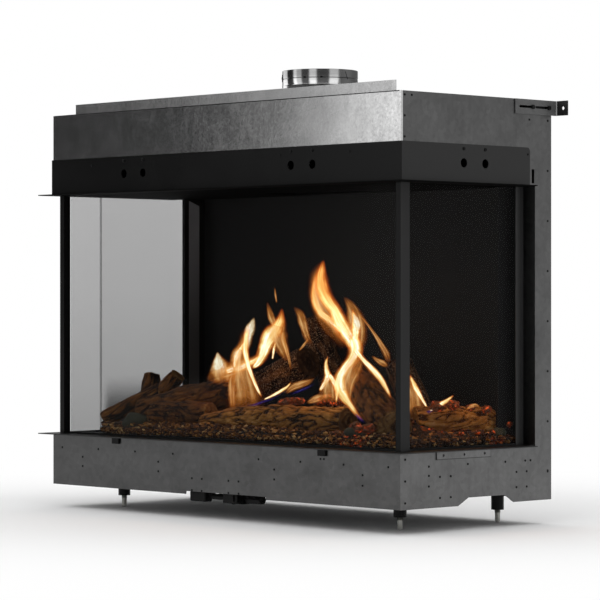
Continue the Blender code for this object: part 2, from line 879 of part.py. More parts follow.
def flue_collar():
    low = top_z - collar_spigot
    seat = top_z + seat_gap
    inside = collar_radius - collar_wall
    rim = collar_radius + collar_flange
    profile = [(collar_radius, collar_top)]
    for drop in bead_drops:
        middle = collar_top - drop
        profile.extend([(collar_radius, middle + bead_half), (collar_radius + bead_reach, middle),
                        (collar_radius, middle - bead_half)])
    profile.extend([
        (collar_radius, seat + collar_wall), (rim, seat + collar_wall), (rim, seat),
        (collar_radius, seat), (collar_radius, low), (inside, low), (inside, collar_top),
    ])
    keep(turned(profile, (0, flue_y, 0), round_steps, True), "flue_collar", bright_steel)


# Wall brackets: each slides back along two studs, which stand at the rear end of its slots
def stud_places():
    reach = slot_length / 2 - stud_radius - stud_clearance
    return [centre + reach for centre in slot_centres_back]


def wall_bracket(name, side):
    outline = [
        (0, 0),
        (side * sheet, 0),
        (side * sheet, bracket_length - sheet),
        (side * bracket_leg, bracket_length - sheet),
        (side * bracket_leg, bracket_length),
        (0, bracket_length),
    ]
    place = (side * bracket_x, front_y + bracket_front_back, slot_z)
    plate = flat(outline, bracket_height, "xy", place)
    cuts = []
    for centre in slot_centres_back:
        points = slot_points((centre, 0), slot_length, slot_height)
        cuts.append(flat(points, 2 * overrun, "yz", (side * (bracket_x + sheet / 2), front_y, slot_z)))
    hole_x = side * (bracket_x + bracket_leg - bracket_hole_inset)
    hole_y = front_y + bracket_front_back + bracket_length
    cuts.append(cylinder(bracket_hole_radius, 2 * overrun, (hole_x, hole_y, slot_z), "Y"))
    keep(combine(plate, cuts, "DIFFERENCE"), name, black_paint)


def bracket_studs(name, side):
    backs = stud_places()
    inside = side_x - sheet - seat_gap
    x = span(side, inside - sheet, inside)
    strip = box((x[0], front_y + backs[0] - backing_margin, slot_z - backing_height / 2),
                (x[1], front_y + body_depth - sheet - seat_gap, slot_z + backing_height / 2))
    head_in = bracket_x + sheet + seat_gap
    shank = head_in + stud_head_height / 2 - (inside - sheet / 2)
    pieces = []
    for back in backs:
        shank_x = side * (inside - sheet / 2 + shank / 2)
        pieces.append(cylinder(stud_radius, shank, (shank_x, front_y + back, slot_z), "X"))
        head_x = side * (head_in + stud_head_height / 2)
        pieces.append(cylinder(stud_head_radius, stud_head_height, (head_x, front_y + back, slot_z), "X"))
    keep(combine(strip, pieces, "UNION"), name, zinc_plate)


# Tabs and clips under the lower sill
def side_tab(name, side):
    holes = []
    for back in (tab_hole_inset, tab_length / 2, tab_length - tab_hole_inset):
        holes.append(circle_points((back, tab_height / 2), tab_hole_radius))
    outline = rectangle((0, 0), (tab_length, tab_height))
    place = (side * (bracket_x + sheet / 2), front_y + tab_front_back, sill_z - seat_gap - tab_height)
    keep(flat(outline, sheet, "yz", place, holes), name, dark_galvanised)


def front_clip(name, side):
    x = side * clip_x
    back = front_y - seat_gap
    high = sill_z - seat_gap
    low = (x - clip_width / 2, back - clip_thickness, high - clip_height)
    clip = box(low, (x + clip_width / 2, back, high))
    keep(soften(clip, clip_bevel), name, black_paint)


# Levelling feet
def foot_places():
    places = []
    for row, back in (("front", foot_front_back), ("rear", foot_rear_back)):
        for hand, side in (("left", -1), ("right", 1)):
            places.append((row + "_" + hand, side * (side_x - foot_inset), back))
    return places


def levelling_feet():
    bore = stud_shank_radius + stud_bore_clearance
    sleeve_low = base_z - sleeve_drop
    sleeve_high = floor_z - seat_gap
    sleeve = [(sleeve_radius, sleeve_high), (sleeve_radius, sleeve_low),
              (bore, sleeve_low), (bore, sleeve_high)]
    tip = stud_shank_radius - stud_chamfer
    stud = [(0, stud_length), (tip, stud_length), (stud_shank_radius, stud_length - stud_chamfer),
            (stud_shank_radius, stud_taper_height), (stud_foot_radius, 0), (0, 0)]
    for label, x, back in foot_places():
        place = (x, front_y + back, 0)
        keep(turned(sleeve, place, foot_steps, True), "leg_sleeve_" + label, black_paint)
        keep(turned(stud, place, foot_steps, False), "levelling_stud_" + label, zinc_plate)


# Gas controls
def receiver_box():
    front = front_y + control_front_back
    body = box((receiver_x - receiver_width / 2, front, control_seat_z - receiver_height),
               (receiver_x + receiver_width / 2, front + receiver_depth, control_seat_z))
    keep(soften(body, control_bevel), "receiver_box", black_plastic)


def gas_valve():
    front = front_y + control_front_back
    middle = front + valve_depth / 2
    body = box((valve_x - valve_width / 2, front, control_seat_z - valve_height),
               (valve_x + valve_width / 2, front + valve_depth, control_seat_z))
    level = control_seat_z - union_drop
    bite = union_bore_radius
    union_x = valve_x + valve_width / 2 + union_length / 2 - bite / 2
    inlet = cylinder(union_radius, union_length + bite, (union_x, middle, level), "X", union_sides)
    bore_x = valve_x + valve_width / 2 + union_length
    bore = cylinder(union_bore_radius, union_length, (bore_x, middle, level), "X")
    stub_x = valve_x - valve_width / 2 - stub_length / 2 + bite / 2
    stub = cylinder(stub_radius, stub_length + bite, (stub_x, middle, level), "X")
    combine(body, [inlet, stub], "UNION")
    keep(combine(body, [bore], "DIFFERENCE"), "gas_valve", black_plastic)


def valve_knob():
    x = valve_x + knob_offset
    level = control_seat_z - knob_drop
    back = front_y + control_front_back - seat_gap
    disc = cylinder(knob_radius, knob_length, (x, back - knob_length / 2, level), "Y", foot_steps)
    grip = box((x - knob_grip_width / 2, back - knob_length - knob_grip_height, level - knob_radius / 2),
               (x + knob_grip_width / 2, back - knob_length / 2, level + knob_radius / 2))
    keep(combine(disc, [grip], "UNION"), "valve_knob", black_plastic)


def build():
    for hand, side in (("left", -1), ("right", 1)):
        side_frame("side_frame_" + hand, side)
        trim_band_side("trim_band_" + hand, side)
        corner_post("corner_post_" + hand, side)
        rear_glass_strip("rear_glass_strip_" + hand, side)
        side_glass("side_glass_" + hand, side)
        firebox_jamb("firebox_jamb_" + hand, side)
        wall_bracket("wall_bracket_" + hand, side)
        bracket_studs("bracket_studs_" + hand, side)
        side_tab("side_tab_" + hand, side)
        front_clip("front_clip_" + hand, side)
    base_front_panel()
    upper_front_panel()
    top_cover()
    top_lip()
    rear_panel()
    base_floor()
    trim_band_front()
    sill_plates()
    front_glass()
    glass_rail()
    firebox_back()
    burner_pan()
    burner_deck()
    pilot_burner()
    supply_pipe()
    ember_bed()
    logs()
    flue_hood()
    inner_flue()
    flue_collar()
    levelling_feet()
    receiver_box()
    gas_valve()
    valve_knob()


clear_scene()
parts = new_collection("three_sided_fireplace")
cutters = new_collection("cutters")
build()
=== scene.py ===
import math
import random

import bpy
from mathutils import Matrix, Vector, noise


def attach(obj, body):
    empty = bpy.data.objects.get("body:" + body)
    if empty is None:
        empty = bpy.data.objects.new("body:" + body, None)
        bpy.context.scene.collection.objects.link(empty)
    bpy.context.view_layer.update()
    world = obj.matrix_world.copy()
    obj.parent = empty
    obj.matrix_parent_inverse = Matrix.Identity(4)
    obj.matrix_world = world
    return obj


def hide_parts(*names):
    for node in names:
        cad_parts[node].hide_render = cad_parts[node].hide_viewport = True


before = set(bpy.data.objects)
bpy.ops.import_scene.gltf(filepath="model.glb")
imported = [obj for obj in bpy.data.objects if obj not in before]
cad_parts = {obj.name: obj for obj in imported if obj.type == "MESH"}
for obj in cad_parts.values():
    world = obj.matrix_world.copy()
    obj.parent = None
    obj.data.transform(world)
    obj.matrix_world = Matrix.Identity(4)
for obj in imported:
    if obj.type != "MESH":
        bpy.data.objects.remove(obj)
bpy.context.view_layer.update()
dice = random.Random(11)
noise.seed_set(29)  # otherwise noise_vector, used for the bark, takes its seed from the clock
millimetre = 0.001
frontPlane = -0.206  # world y of the casing's front face
bedTop = 0.1704


def linearColor(code):
    parts = [int(code[i:i + 2], 16) / 255 for i in (1, 3, 5)]
    return (*[p / 12.92 if p <= 0.04045 else ((p + 0.055) / 1.055) ** 2.4 for p in parts], 1.0)


def addNode(tree, kind, settings=None, sockets=None):
    node = tree.nodes.new("ShaderNode" + kind)
    for key, value in (settings or {}).items():
        if key == "stops":  # a colour ramp's stops, as place and colour
            stops = node.color_ramp.elements
            while len(stops) < len(value):
                stops.new(1.0)
            for stop, (where, color) in zip(stops, value):
                stop.position = where
                stop.color = color
        else:
            setattr(node, key, value)
    for key, value in (sockets or {}).items():
        if isinstance(value, bpy.types.NodeSocket):
            tree.links.new(value, node.inputs[key])
        else:
            node.inputs[key].default_value = value
    return node


def newFinish(name):
    material = bpy.data.materials.new(name)
    material.use_nodes = True
    tree = material.node_tree
    place = addNode(tree, "TexCoord").outputs["Object"]
    return material, tree, tree.nodes["Principled BSDF"], place


def greyStops(pairs):
    return [(where, (value, value, value, 1.0)) for where, value in pairs]


# Camera, floor and studio

cameraLook = {
    "place": (4.1357, -3.9061, 0.444),
    "turn": math.radians(46.44),
    "lens": 166.9,
    "shift": -0.00408,
}

bpy.ops.object.camera_add(location=cameraLook["place"], rotation=(math.pi / 2, 0, cameraLook["turn"]))
camera = bpy.context.object
camera.name = "photo_camera"
camera.data.lens = cameraLook["lens"]
camera.data.sensor_width = 36
camera.data.shift_y = cameraLook["shift"]
camera.data.clip_end = 200
bpy.context.scene.camera = camera
bpy.context.scene.view_settings.view_transform = "Standard"

studioLook = {
    "fill": 1.25,
    "floor": "#fcfcfc",
    "floorRadius": 60.0,
    "screenRadius": 10.0,
    "screenHeight": 7.5,
    # degrees round the studio and how bright its screens are there
    "screens": [(0, 1.3), (13, 1.3), (17, 0.22), (33, 0.22), (37, 0.98), (58, 0.98), (62, 0.3),
                (150, 0.3), (162, 0.15), (165, 1.5), (195, 1.5), (198, 0.05), (222.4, 0.05),
                (224.8, 0.13), (226.2, 0.45), (227.6, 1.4), (230, 1.8),
                (238, 1.8), (241, 0.95), (255, 0.95), (259, 0.12),
                (281, 0.12), (285, 1.5), (303, 1.5), (308, 0.14), (343, 0.14), (347, 1.3), (360, 1.3)],
}


def buildStudio():
    world = bpy.data.worlds.new("studio_light")
    bpy.context.scene.world = world
    world.use_nodes = True
    tree = world.node_tree
    path = addNode(tree, "LightPath")
    seen = addNode(tree, "Math", {"operation": "MAXIMUM"},
                   {0: path.outputs["Is Camera Ray"], 1: path.outputs["Is Transmission Ray"]})
    seen = addNode(tree, "Math", {"operation": "MAXIMUM"},
                   {0: seen.outputs[0], 1: path.outputs["Is Glossy Ray"]})
    level = addNode(tree, "MapRange", None,
                    {"Value": seen.outputs[0], "To Min": studioLook["fill"], "To Max": 1.0})
    tree.links.new(level.outputs[0], tree.nodes["Background"].inputs["Strength"])
    tree.nodes["Background"].inputs["Color"].default_value = (1, 1, 1, 1)

    bpy.ops.mesh.primitive_circle_add(vertices=96, radius=studioLook["floorRadius"], fill_type="NGON")
    floor = bpy.context.object
    floor.name = "studio_floor"
    material, tree, shader, place = newFinish("pale_floor_paint")
    shader.inputs["Base Color"].default_value = linearColor(studioLook["floor"])
    shader.inputs["Roughness"].default_value = 0.9
    shader.inputs["Specular IOR Level"].default_value = 0.1
    away = addNode(tree, "VectorMath", {"operation": "LENGTH"}, {0: place})
    far = addNode(tree, "MapRange", {"interpolation_type": "SMOOTHSTEP"},
                  {"Value": away.outputs["Value"], "From Min": 0.58, "From Max": 1.7})
    white = addNode(tree, "Emission", None, {"Color": (1, 1, 1, 1), "Strength": 1.0})
    both = addNode(tree, "MixShader", None,
                   {0: far.outputs[0], 1: shader.outputs[0], 2: white.outputs[0]})
    tree.links.new(both.outputs[0], tree.nodes["Material Output"].inputs["Surface"])
    floor.data.materials.append(material)

    # a ring of soft screens and dark flags that only the object sees
    bpy.ops.mesh.primitive_cylinder_add(vertices=180, radius=studioLook["screenRadius"],
                                        depth=studioLook["screenHeight"], end_fill_type="NOTHING",
                                        location=(0, 0, studioLook["screenHeight"] / 2 + 0.001))
    ring = bpy.context.object
    bpy.ops.object.transform_apply(location=True, rotation=True, scale=True)
    ring.name = "studio_screens"
    material, tree, shader, place = newFinish("lit_screen_cloth")
    axes = addNode(tree, "SeparateXYZ", None, {0: place})
    turn = addNode(tree, "Math", {"operation": "ARCTAN2"}, {0: axes.outputs["Y"], 1: axes.outputs["X"]})
    turn = addNode(tree, "Math", {"operation": "MULTIPLY"}, {0: turn.outputs[0], 1: 0.5 / math.pi})
    turn = addNode(tree, "Math", {"operation": "FRACT"}, {0: turn.outputs[0]})
    level = addNode(tree, "ValToRGB",
                    {"stops": greyStops([(a / 360, v / 2) for a, v in studioLook["screens"]])},
                    {0: turn.outputs[0]})
    glow = addNode(tree, "Emission", None, {"Color": level.outputs[0], "Strength": 2.0})
    tree.links.new(glow.outputs[0], tree.nodes["Material Output"].inputs["Surface"])
    ring.data.materials.append(material)
    ring.visible_camera = False
    ring.visible_transmission = False


buildStudio()
print("camera and studio ready")


# Finishes

def galvanisedSheet(name, look):
    # hot-dip galvanised sheet: grey zinc with faint spangle, clouds and rolling streaks
    material, tree, shader, place = newFinish(name)
    cloud = addNode(tree, "TexNoise", None, {"Vector": place, "Scale": 14.0, "Detail": 5.0})
    spangle = addNode(tree, "TexVoronoi", None, {"Vector": place, "Scale": 1 / look["spangle"]})
    long = addNode(tree, "Mapping", None, {"Vector": place, "Scale": look["streak"]})
    streak = addNode(tree, "TexNoise", None, {"Vector": long.outputs[0], "Scale": 1.0, "Detail": 6.0,
                                              "Roughness": 0.65})
    grain = addNode(tree, "Mix", {"data_type": "FLOAT"},
                    {0: 0.35, 2: streak.outputs["Fac"], 3: spangle.outputs["Color"]})
    tone = addNode(tree, "Mix", {"data_type": "FLOAT"},
                   {0: 0.45, 2: cloud.outputs["Fac"], 3: grain.outputs[0]})
    tone = addNode(tree, "MapRange", None, {"Value": tone.outputs[0], "From Min": 0.3, "From Max": 0.7})
    if "patch" in look:  # areas where the crystals lie another way
        size, amount = look["patch"]
        drift = addNode(tree, "TexNoise", None, {"Vector": place, "Scale": 24.0, "Detail": 4.0})
        drift = addNode(tree, "VectorMath", {"operation": "SCALE"},
                        {0: drift.outputs["Color"], "Scale": size})
        drift = addNode(tree, "VectorMath", {"operation": "ADD"}, {0: place, 1: drift.outputs[0]})
        area = addNode(tree, "TexVoronoi", None, {"Vector": drift.outputs[0], "Scale": 1 / size})
        tone = addNode(tree, "Mix", {"data_type": "FLOAT"},
                       {0: amount, 2: tone.outputs[0], 3: area.outputs["Color"]})
        small = addNode(tree, "TexNoise", None, {"Vector": place, "Scale": 260.0, "Detail": 4.0})
        small = addNode(tree, "MapRange", None,
                        {"Value": small.outputs["Fac"], "From Min": 0.34, "From Max": 0.66})
        tone = addNode(tree, "Mix", {"data_type": "FLOAT"},
                       {0: 0.20, 2: tone.outputs[0], 3: small.outputs[0]})
    color = addNode(tree, "Mix", {"data_type": "RGBA"},
                    {0: tone.outputs[0], 6: linearColor(look["dark"]), 7: linearColor(look["light"])})
    if "foot" in look:  # painted light: the metal is painted lighter towards the foot
        high, low, gain = look["foot"]
        axes = addNode(tree, "SeparateXYZ", None, {0: place})
        gain = addNode(tree, "MapRange", {"interpolation_type": "SMOOTHSTEP"},
                       {"Value": axes.outputs["Z"], "From Min": high, "From Max": low, "To Min": 1.0,
                        "To Max": gain})
        lit = addNode(tree, "VectorMath", {"operation": "SCALE"},
                      {0: color.outputs[2], "Scale": gain.outputs[0]})
        color = addNode(tree, "Mix", {"data_type": "RGBA"}, {0: 1.0, 7: lit.outputs[0]})
    if "edgeShade" in look:  # painted shade: dark lower edge and rear end
        back, low, shade = look["edgeShade"]
        axes = addNode(tree, "SeparateXYZ", None, {0: place})
        end = addNode(tree, "Math", {"operation": "GREATER_THAN"}, {0: axes.outputs["Y"], 1: back})
        foot = addNode(tree, "Math", {"operation": "LESS_THAN"}, {0: axes.outputs["Z"], 1: low})
        out = addNode(tree, "Math", {"operation": "MAXIMUM"}, {0: end.outputs[0], 1: foot.outputs[0]})
        color = addNode(tree, "Mix", {"data_type": "RGBA"},
                        {0: out.outputs[0], 6: color.outputs[2], 7: linearColor(shade)})
    if "bend" in look:  # a painted highlight along the bend, and black paint on the leg beyond it
        axes = addNode(tree, "SeparateXYZ", None, {0: place})
        away = addNode(tree, "Math", {"operation": "ABSOLUTE"}, {0: axes.outputs["X"]})
        for start, tone in zip(look["bend"], ("#b4b4b4", "#181818")):
            out = addNode(tree, "Math", {"operation": "GREATER_THAN"}, {0: away.outputs[0], 1: start})
            color = addNode(tree, "Mix", {"data_type": "RGBA"},
                            {0: out.outputs[0], 6: color.outputs[2], 7: linearColor(tone)})
    rough = addNode(tree, "MapRange", None,
                    {"Value": grain.outputs[0], "From Min": 0.3, "From Max": 0.7,
                     "To Min": look["roughness"] + 0.05, "To Max": look["roughness"] - 0.03})
    fine = addNode(tree, "TexNoise", None, {"Vector": place, "Scale": 420.0, "Detail": 3.0})
    height = addNode(tree, "Mix", {"data_type": "FLOAT"},
                     {0: 0.5, 2: fine.outputs["Fac"], 3: spangle.outputs["Color"]})
    bump = addNode(tree, "Bump", None, {"Strength": look["bump"], "Distance": 0.0003,
                                        "Height": height.outputs[0]})
    tree.links.new(color.outputs[2], shader.inputs["Base Color"])
    tree.links.new(rough.outputs[0], shader.inputs["Roughness"])
    tree.links.new(bump.outputs[0], shader.inputs["Normal"])
    shader.inputs["Metallic"].default_value = look.get("metal", 1.0)
    return material


def coatedSteel(name, look):
    # powder coat or stove enamel: even colour with a fine orange-peel skin and a little dust
    material, tree, shader, place = newFinish(name)
    cloud = addNode(tree, "TexNoise", None, {"Vector": place, "Scale": 9.0, "Detail": 6.0})
    peel = addNode(tree, "TexNoise", None, {"Vector": place, "Scale": 1 / look["peel"], "Detail": 2.0})
    color = addNode(tree, "Mix", {"data_type": "RGBA"},
                    {0: cloud.outputs["Fac"], 6: linearColor(look["dark"]), 7: linearColor(look["light"])})
    rough = addNode(tree, "MapRange", None,
                    {"Value": cloud.outputs["Fac"], "To Min": look["roughness"] - 0.06,
                     "To Max": look["roughness"] + 0.06})
    if "foot" in look:  # painted shade: darker towards the foot
        high, low, gain = look["foot"]
        axes = addNode(tree, "SeparateXYZ", None, {0: place})
        gain = addNode(tree, "MapRange", {"interpolation_type": "SMOOTHSTEP"},
                       {"Value": axes.outputs["Z"], "From Min": high, "From Max": low, "To Min": 1.0,
                        "To Max": gain})
        lit = addNode(tree, "VectorMath", {"operation": "SCALE"},
                      {0: color.outputs[2], "Scale": gain.outputs[0]})
        color = addNode(tree, "Mix", {"data_type": "RGBA"}, {0: 1.0, 7: lit.outputs[0]})
    if "outer" in look:  # painted light: faces beyond this reach take another tone, lighter on the posts' outer sides than on their fronts, and the enamel's own black on the jamb's outer part
        reach, tone = look["outer"]
        axes = addNode(tree, "SeparateXYZ", None, {0: place})
        out = addNode(tree, "Math", {"operation": "ABSOLUTE"}, {0: axes.outputs["X"]})
        out = addNode(tree, "Math", {"operation": "GREATER_THAN"}, {0: out.outputs[0], 1: reach})
        color = addNode(tree, "Mix", {"data_type": "RGBA"},
                        {0: out.outputs[0], 6: color.outputs[2], 7: linearColor(tone)})
    bump = addNode(tree, "Bump", None, {"Strength": look.get("bump", 0.08), "Distance": 0.0001,
                                        "Height": peel.outputs["Fac"]})
    tree.links.new(color.outputs[2], shader.inputs["Base Color"])
    tree.links.new(rough.outputs[0], shader.inputs["Roughness"])
    tree.links.new(bump.outputs[0], shader.inputs["Normal"])
    shader.inputs["Specular IOR Level"].default_value = look["gloss"]
    return material


def turnedSteel(name, look):
    # rolled or turned metal: fine marks that run round or along it, with soft tone changes
    material, tree, shader, place = newFinish(name)
    long = addNode(tree, "Mapping", None, {"Vector": place, "Scale": look["marks"]})
    marks = addNode(tree, "TexNoise", None, {"Vector": long.outputs[0], "Scale": 1.0, "Detail": 4.0})
    color = addNode(tree, "Mix", {"data_type": "RGBA"},
                    {0: marks.outputs["Fac"], 6: linearColor(look["dark"]), 7: linearColor(look["light"])})
    rough = addNode(tree, "MapRange", None,
                    {"Value": marks.outputs["Fac"], "To Min": look["roughness"] - 0.05,
                     "To Max": look["roughness"] + 0.08})
    bump = addNode(tree, "Bump", None, {"Strength": 0.12, "Distance": 0.0002,
                                        "Height": marks.outputs["Fac"]})
    if "rim" in look:  # painted shade: the ring above the seam is darker, and the side beyond the lap is darker and duller
        low, high, tone = look["rim"]
        axes = addNode(tree, "SeparateXYZ", None, {0: place})
        up = addNode(tree, "MapRange", {"interpolation_type": "SMOOTHSTEP"},
                     {"Value": axes.outputs["Z"], "From Min": low, "From Max": high, "To Max": 0.55})
        color = addNode(tree, "Mix", {"data_type": "RGBA"},
                        {0: up.outputs[0], 6: color.outputs[2], 7: linearColor(tone)})
        lap = addNode(tree, "VectorMath", {"operation": "DOT_PRODUCT"}, {0: place, 1: (0.725, 0.688, 0.0)})
        lap = addNode(tree, "MapRange", {"interpolation_type": "SMOOTHSTEP"},
                      {"Value": lap.outputs["Value"], "From Min": 0.0975, "From Max": 0.1035})
        color = addNode(tree, "Mix", {"data_type": "RGBA"},
                        {0: lap.outputs[0], 6: color.outputs[2], 7: linearColor(look["lap"])})
        rough = addNode(tree, "MapRange", None, {"Value": lap.outputs[0], "To Min": look["roughness"],
                                                 "To Max": 0.42})
    tree.links.new(color.outputs[2], shader.inputs["Base Color"])
    tree.links.new(rough.outputs[0], shader.inputs["Roughness"])
    tree.links.new(bump.outputs[0], shader.inputs["Normal"])
    shader.inputs["Metallic"].default_value = 1.0
    return material


def windowGlass(name, look):
    # ceramic glass with a grey heat-reflecting coat: dims what is behind it, more towards the foot
    material, tree, shader, place = newFinish(name)
    axes = addNode(tree, "SeparateXYZ", None, {0: place})
    smear = addNode(tree, "TexNoise", None, {"Vector": place, "Scale": 5.0, "Detail": 3.0})
    cover = addNode(tree, "ValToRGB", {"stops": greyStops(look["cover"])},
                    {0: addNode(tree, "MapRange", None,
                                {"Value": axes.outputs["Z"], "From Min": 0.156,
                                 "From Max": 0.660}).outputs[0]})
    cover = addNode(tree, "Math", {"operation": "ADD"},
                    {0: cover.outputs[0],
                     1: addNode(tree, "MapRange", None,
                                {"Value": smear.outputs["Fac"], "To Min": -0.006,
                                 "To Max": 0.006}).outputs[0]})
    # the left pane's rear part is a little darker behind a thin upright line
    onLeft = addNode(tree, "Math", {"operation": "LESS_THAN"}, {0: axes.outputs["X"], 1: -0.48})
    behind = addNode(tree, "Math", {"operation": "GREATER_THAN"},
                     {0: axes.outputs["Y"], 1: look["line"]})
    apart = addNode(tree, "Math", {"operation": "COMPARE"},
                    {0: axes.outputs["Y"], 1: look["line"], 2: look["lineHalf"]})
    extra = addNode(tree, "Math", {"operation": "MULTIPLY_ADD"},
                    {0: apart.outputs[0], 1: look["lineCover"],
                     2: addNode(tree, "Math", {"operation": "MULTIPLY"},
                                {0: behind.outputs[0], 1: look["rearCover"]}).outputs[0]})
    extra = addNode(tree, "Math", {"operation": "MULTIPLY"}, {0: extra.outputs[0], 1: onLeft.outputs[0]})
    cover = addNode(tree, "Math", {"operation": "ADD"}, {0: cover.outputs[0], 1: extra.outputs[0]})
    # painted shade that thickens towards the foot of the left pane
    footShade = addNode(tree, "MapRange", {"interpolation_type": "SMOOTHSTEP"},
                   {"Value": axes.outputs["Z"], "From Min": look["shadeTop"], "From Max": look["shadeFoot"],
                    "To Max": look["shadeCover"]})
    footShade = addNode(tree, "Math", {"operation": "MULTIPLY"}, {0: footShade.outputs[0], 1: onLeft.outputs[0]})
    deep = addNode(tree, "MapRange", {"interpolation_type": "SMOOTHSTEP"},
                   {"Value": axes.outputs["Y"], "From Min": look["line"], "From Max": look["line"] + 0.03})
    footShade = addNode(tree, "Math", {"operation": "MULTIPLY"}, {0: footShade.outputs[0], 1: deep.outputs[0]})
    cover = addNode(tree, "Math", {"operation": "ADD", "use_clamp": True},
                    {0: cover.outputs[0], 1: footShade.outputs[0]})
    tree.links.new(cover.outputs[0], shader.inputs["Alpha"])
    shader.inputs["Base Color"].default_value = linearColor(look["color"])
    shader.inputs["Roughness"].default_value = 0.03
    shader.inputs["Specular IOR Level"].default_value = 0.08
    return material


finishes = {
    # the upper front sheet is brighter than the rest of the casing: painted light, a lighter copy of the same
    # galvanised sheet
    "frontSheet": galvanisedSheet("hot_dip_galvanised_front_sheet", {
        "dark": "#9a9a9a", "light": "#d2d2d2", "roughness": 0.12, "spangle": 0.0042,
        "streak": (80.0, 80.0, 22.0), "bump": 0.05, "patch": (0.045, 0.22)}),
    # painted light: its foot is painted lighter
    "sideSheet": galvanisedSheet("passivated_galvanised_side_sheet", {
        "dark": "#525252", "light": "#636363", "roughness": 0.34, "spangle": 0.008,
        "streak": (70.0, 70.0, 12.0), "bump": 0.10, "foot": (0.34, 0.14, 1.28)}),
    # painted shade along the tab's lower edge and rear end
    "tabSheet": galvanisedSheet("galvanised_side_tab_sheet", {
        "dark": "#626262", "light": "#747474", "roughness": 0.34, "spangle": 0.008,
        "streak": (70.0, 70.0, 12.0), "bump": 0.10, "edgeShade": (0.0380, 0.1394, "#444444")}),
    # the light strip at the bend is a painted highlight
    "bracketSheet": galvanisedSheet("galvanised_bracket_with_black_leg", {
        "dark": "#484848", "light": "#545454", "roughness": 0.45, "spangle": 0.008,
        "streak": (70.0, 70.0, 12.0), "bump": 0.10, "bend": (0.5196, 0.5226), "metal": 0.15}),
    # painted light: the lip is a lighter copy of the galvanised sheet, like the front sheet
    "lipSheet": galvanisedSheet("galvanised_lip_sheet", {
        "dark": "#a2a2a2", "light": "#c4c4c4", "roughness": 0.20, "spangle": 0.0045,
        "streak": (80.0, 80.0, 22.0), "bump": 0.06}),
    # a lighter, rougher copy of the galvanised sheet: its lighter base colour is painted light, so the shaded
    # rear reads lighter
    "rearSheet": galvanisedSheet("galvanised_rear_sheet_painted_lighter", {
        "dark": "#5e5e5e", "light": "#727272", "roughness": 0.58, "spangle": 0.009,
        "streak": (70.0, 70.0, 14.0), "bump": 0.12}),
    # painted shade: a darker copy of the galvanised sheet for the base
    "baseSheet": galvanisedSheet("galvanised_base_sheet_painted_darker", {
        "dark": "#4b4b4b", "light": "#5c5c5c", "roughness": 0.32, "spangle": 0.010,
        "streak": (22.0, 60.0, 60.0), "bump": 0.14}),
    "blackCoat": coatedSteel("black_powder_coated_steel", {
        "dark": "#121212", "light": "#181818", "roughness": 0.34, "peel": 0.0011, "gloss": 0.28}),
    "mattCoat": coatedSteel("matt_black_coated_steel", {
        "dark": "#0c0c0c", "light": "#121212", "roughness": 0.24, "peel": 0.0011, "gloss": 0.09}),
    "sillCoat": coatedSteel("dull_black_sill_paint", {
        "dark": "#0a0a0a", "light": "#101010", "roughness": 0.70, "peel": 0.0011, "gloss": 0.01}),
    # painted light: the posts' outer sides are painted lighter than their fronts
    "postCoat": coatedSteel("matt_black_coated_post", {
        "dark": "#0e0e0e", "light": "#141414", "roughness": 0.24, "peel": 0.0011, "gloss": 0.08,
        "outer": (0.5066, "#282828")}),
    # painted light: a lighter copy of the black coat for the rear glass strips
    "litStripCoat": coatedSteel("black_coated_strip_painted_lighter", {
        "dark": "#1e1e1e", "light": "#282828", "roughness": 0.34, "peel": 0.0011, "gloss": 0.28}),
    "chamberCoat": coatedSteel("matt_black_chamber_enamel", {
        "dark": "#181818", "light": "#1f1f1f", "roughness": 0.66, "peel": 0.0030, "gloss": 0.22,
        "bump": 0.03}),
    # painted light: black enamel given a light grey on the left jamb's inner face, standing in for light that
    # hardly reaches it, with painted shade towards its foot
    "litJambCoat": coatedSteel("black_jamb_enamel_painted_lighter", {
        "dark": "#86888c", "light": "#989aa0", "roughness": 0.60, "peel": 0.0030, "gloss": 0.20, "bump": 0.03,
        "outer": (0.4604, "#141414"), "foot": (0.62, 0.34, 0.38)}),
    "castBlack": coatedSteel("black_cast_control_housing", {
        "dark": "#060606", "light": "#0d0d0d", "roughness": 0.40, "peel": 0.0020, "gloss": 0.12}),
    "glass": windowGlass("grey_tinted_ceramic_glass", {
        "color": "#020202", "cover": [(0.0, 0.27), (0.22, 0.24), (0.6, 0.205), (1.0, 0.19)],
        "line": -0.098, "lineHalf": 0.0011, "lineCover": 0.55, "rearCover": 0.03,
        # painted shade towards the foot of the left pane
        "shadeTop": 0.285, "shadeFoot": 0.175, "shadeCover": 0.50}),
    "flueSteel": turnedSteel("bright_rolled_flue_steel", {
        "dark": "#b4b4b4", "light": "#e0e0e0", "roughness": 0.12, "marks": (30.0, 30.0, 500.0),
        # rim and lap are painted shade on the collar
        "rim": (0.884, 0.902, "#4c4c4c"), "lap": "#6e6e6e"}),
    "zinc": turnedSteel("zinc_plated_steel", {
        "dark": "#8c8c88", "light": "#b4b4ae", "roughness": 0.30, "marks": (90.0, 90.0, 400.0)}),
    "brightZinc": turnedSteel("bright_zinc_plated_thread", {
        "dark": "#84847f", "light": "#b0b0ab", "roughness": 0.30, "marks": (90.0, 90.0, 400.0)}),
    "brass": turnedSteel("turned_brass", {
        "dark": "#8a6a30", "light": "#b8924c", "roughness": 0.30, "marks": (60.0, 60.0, 700.0)}),
}

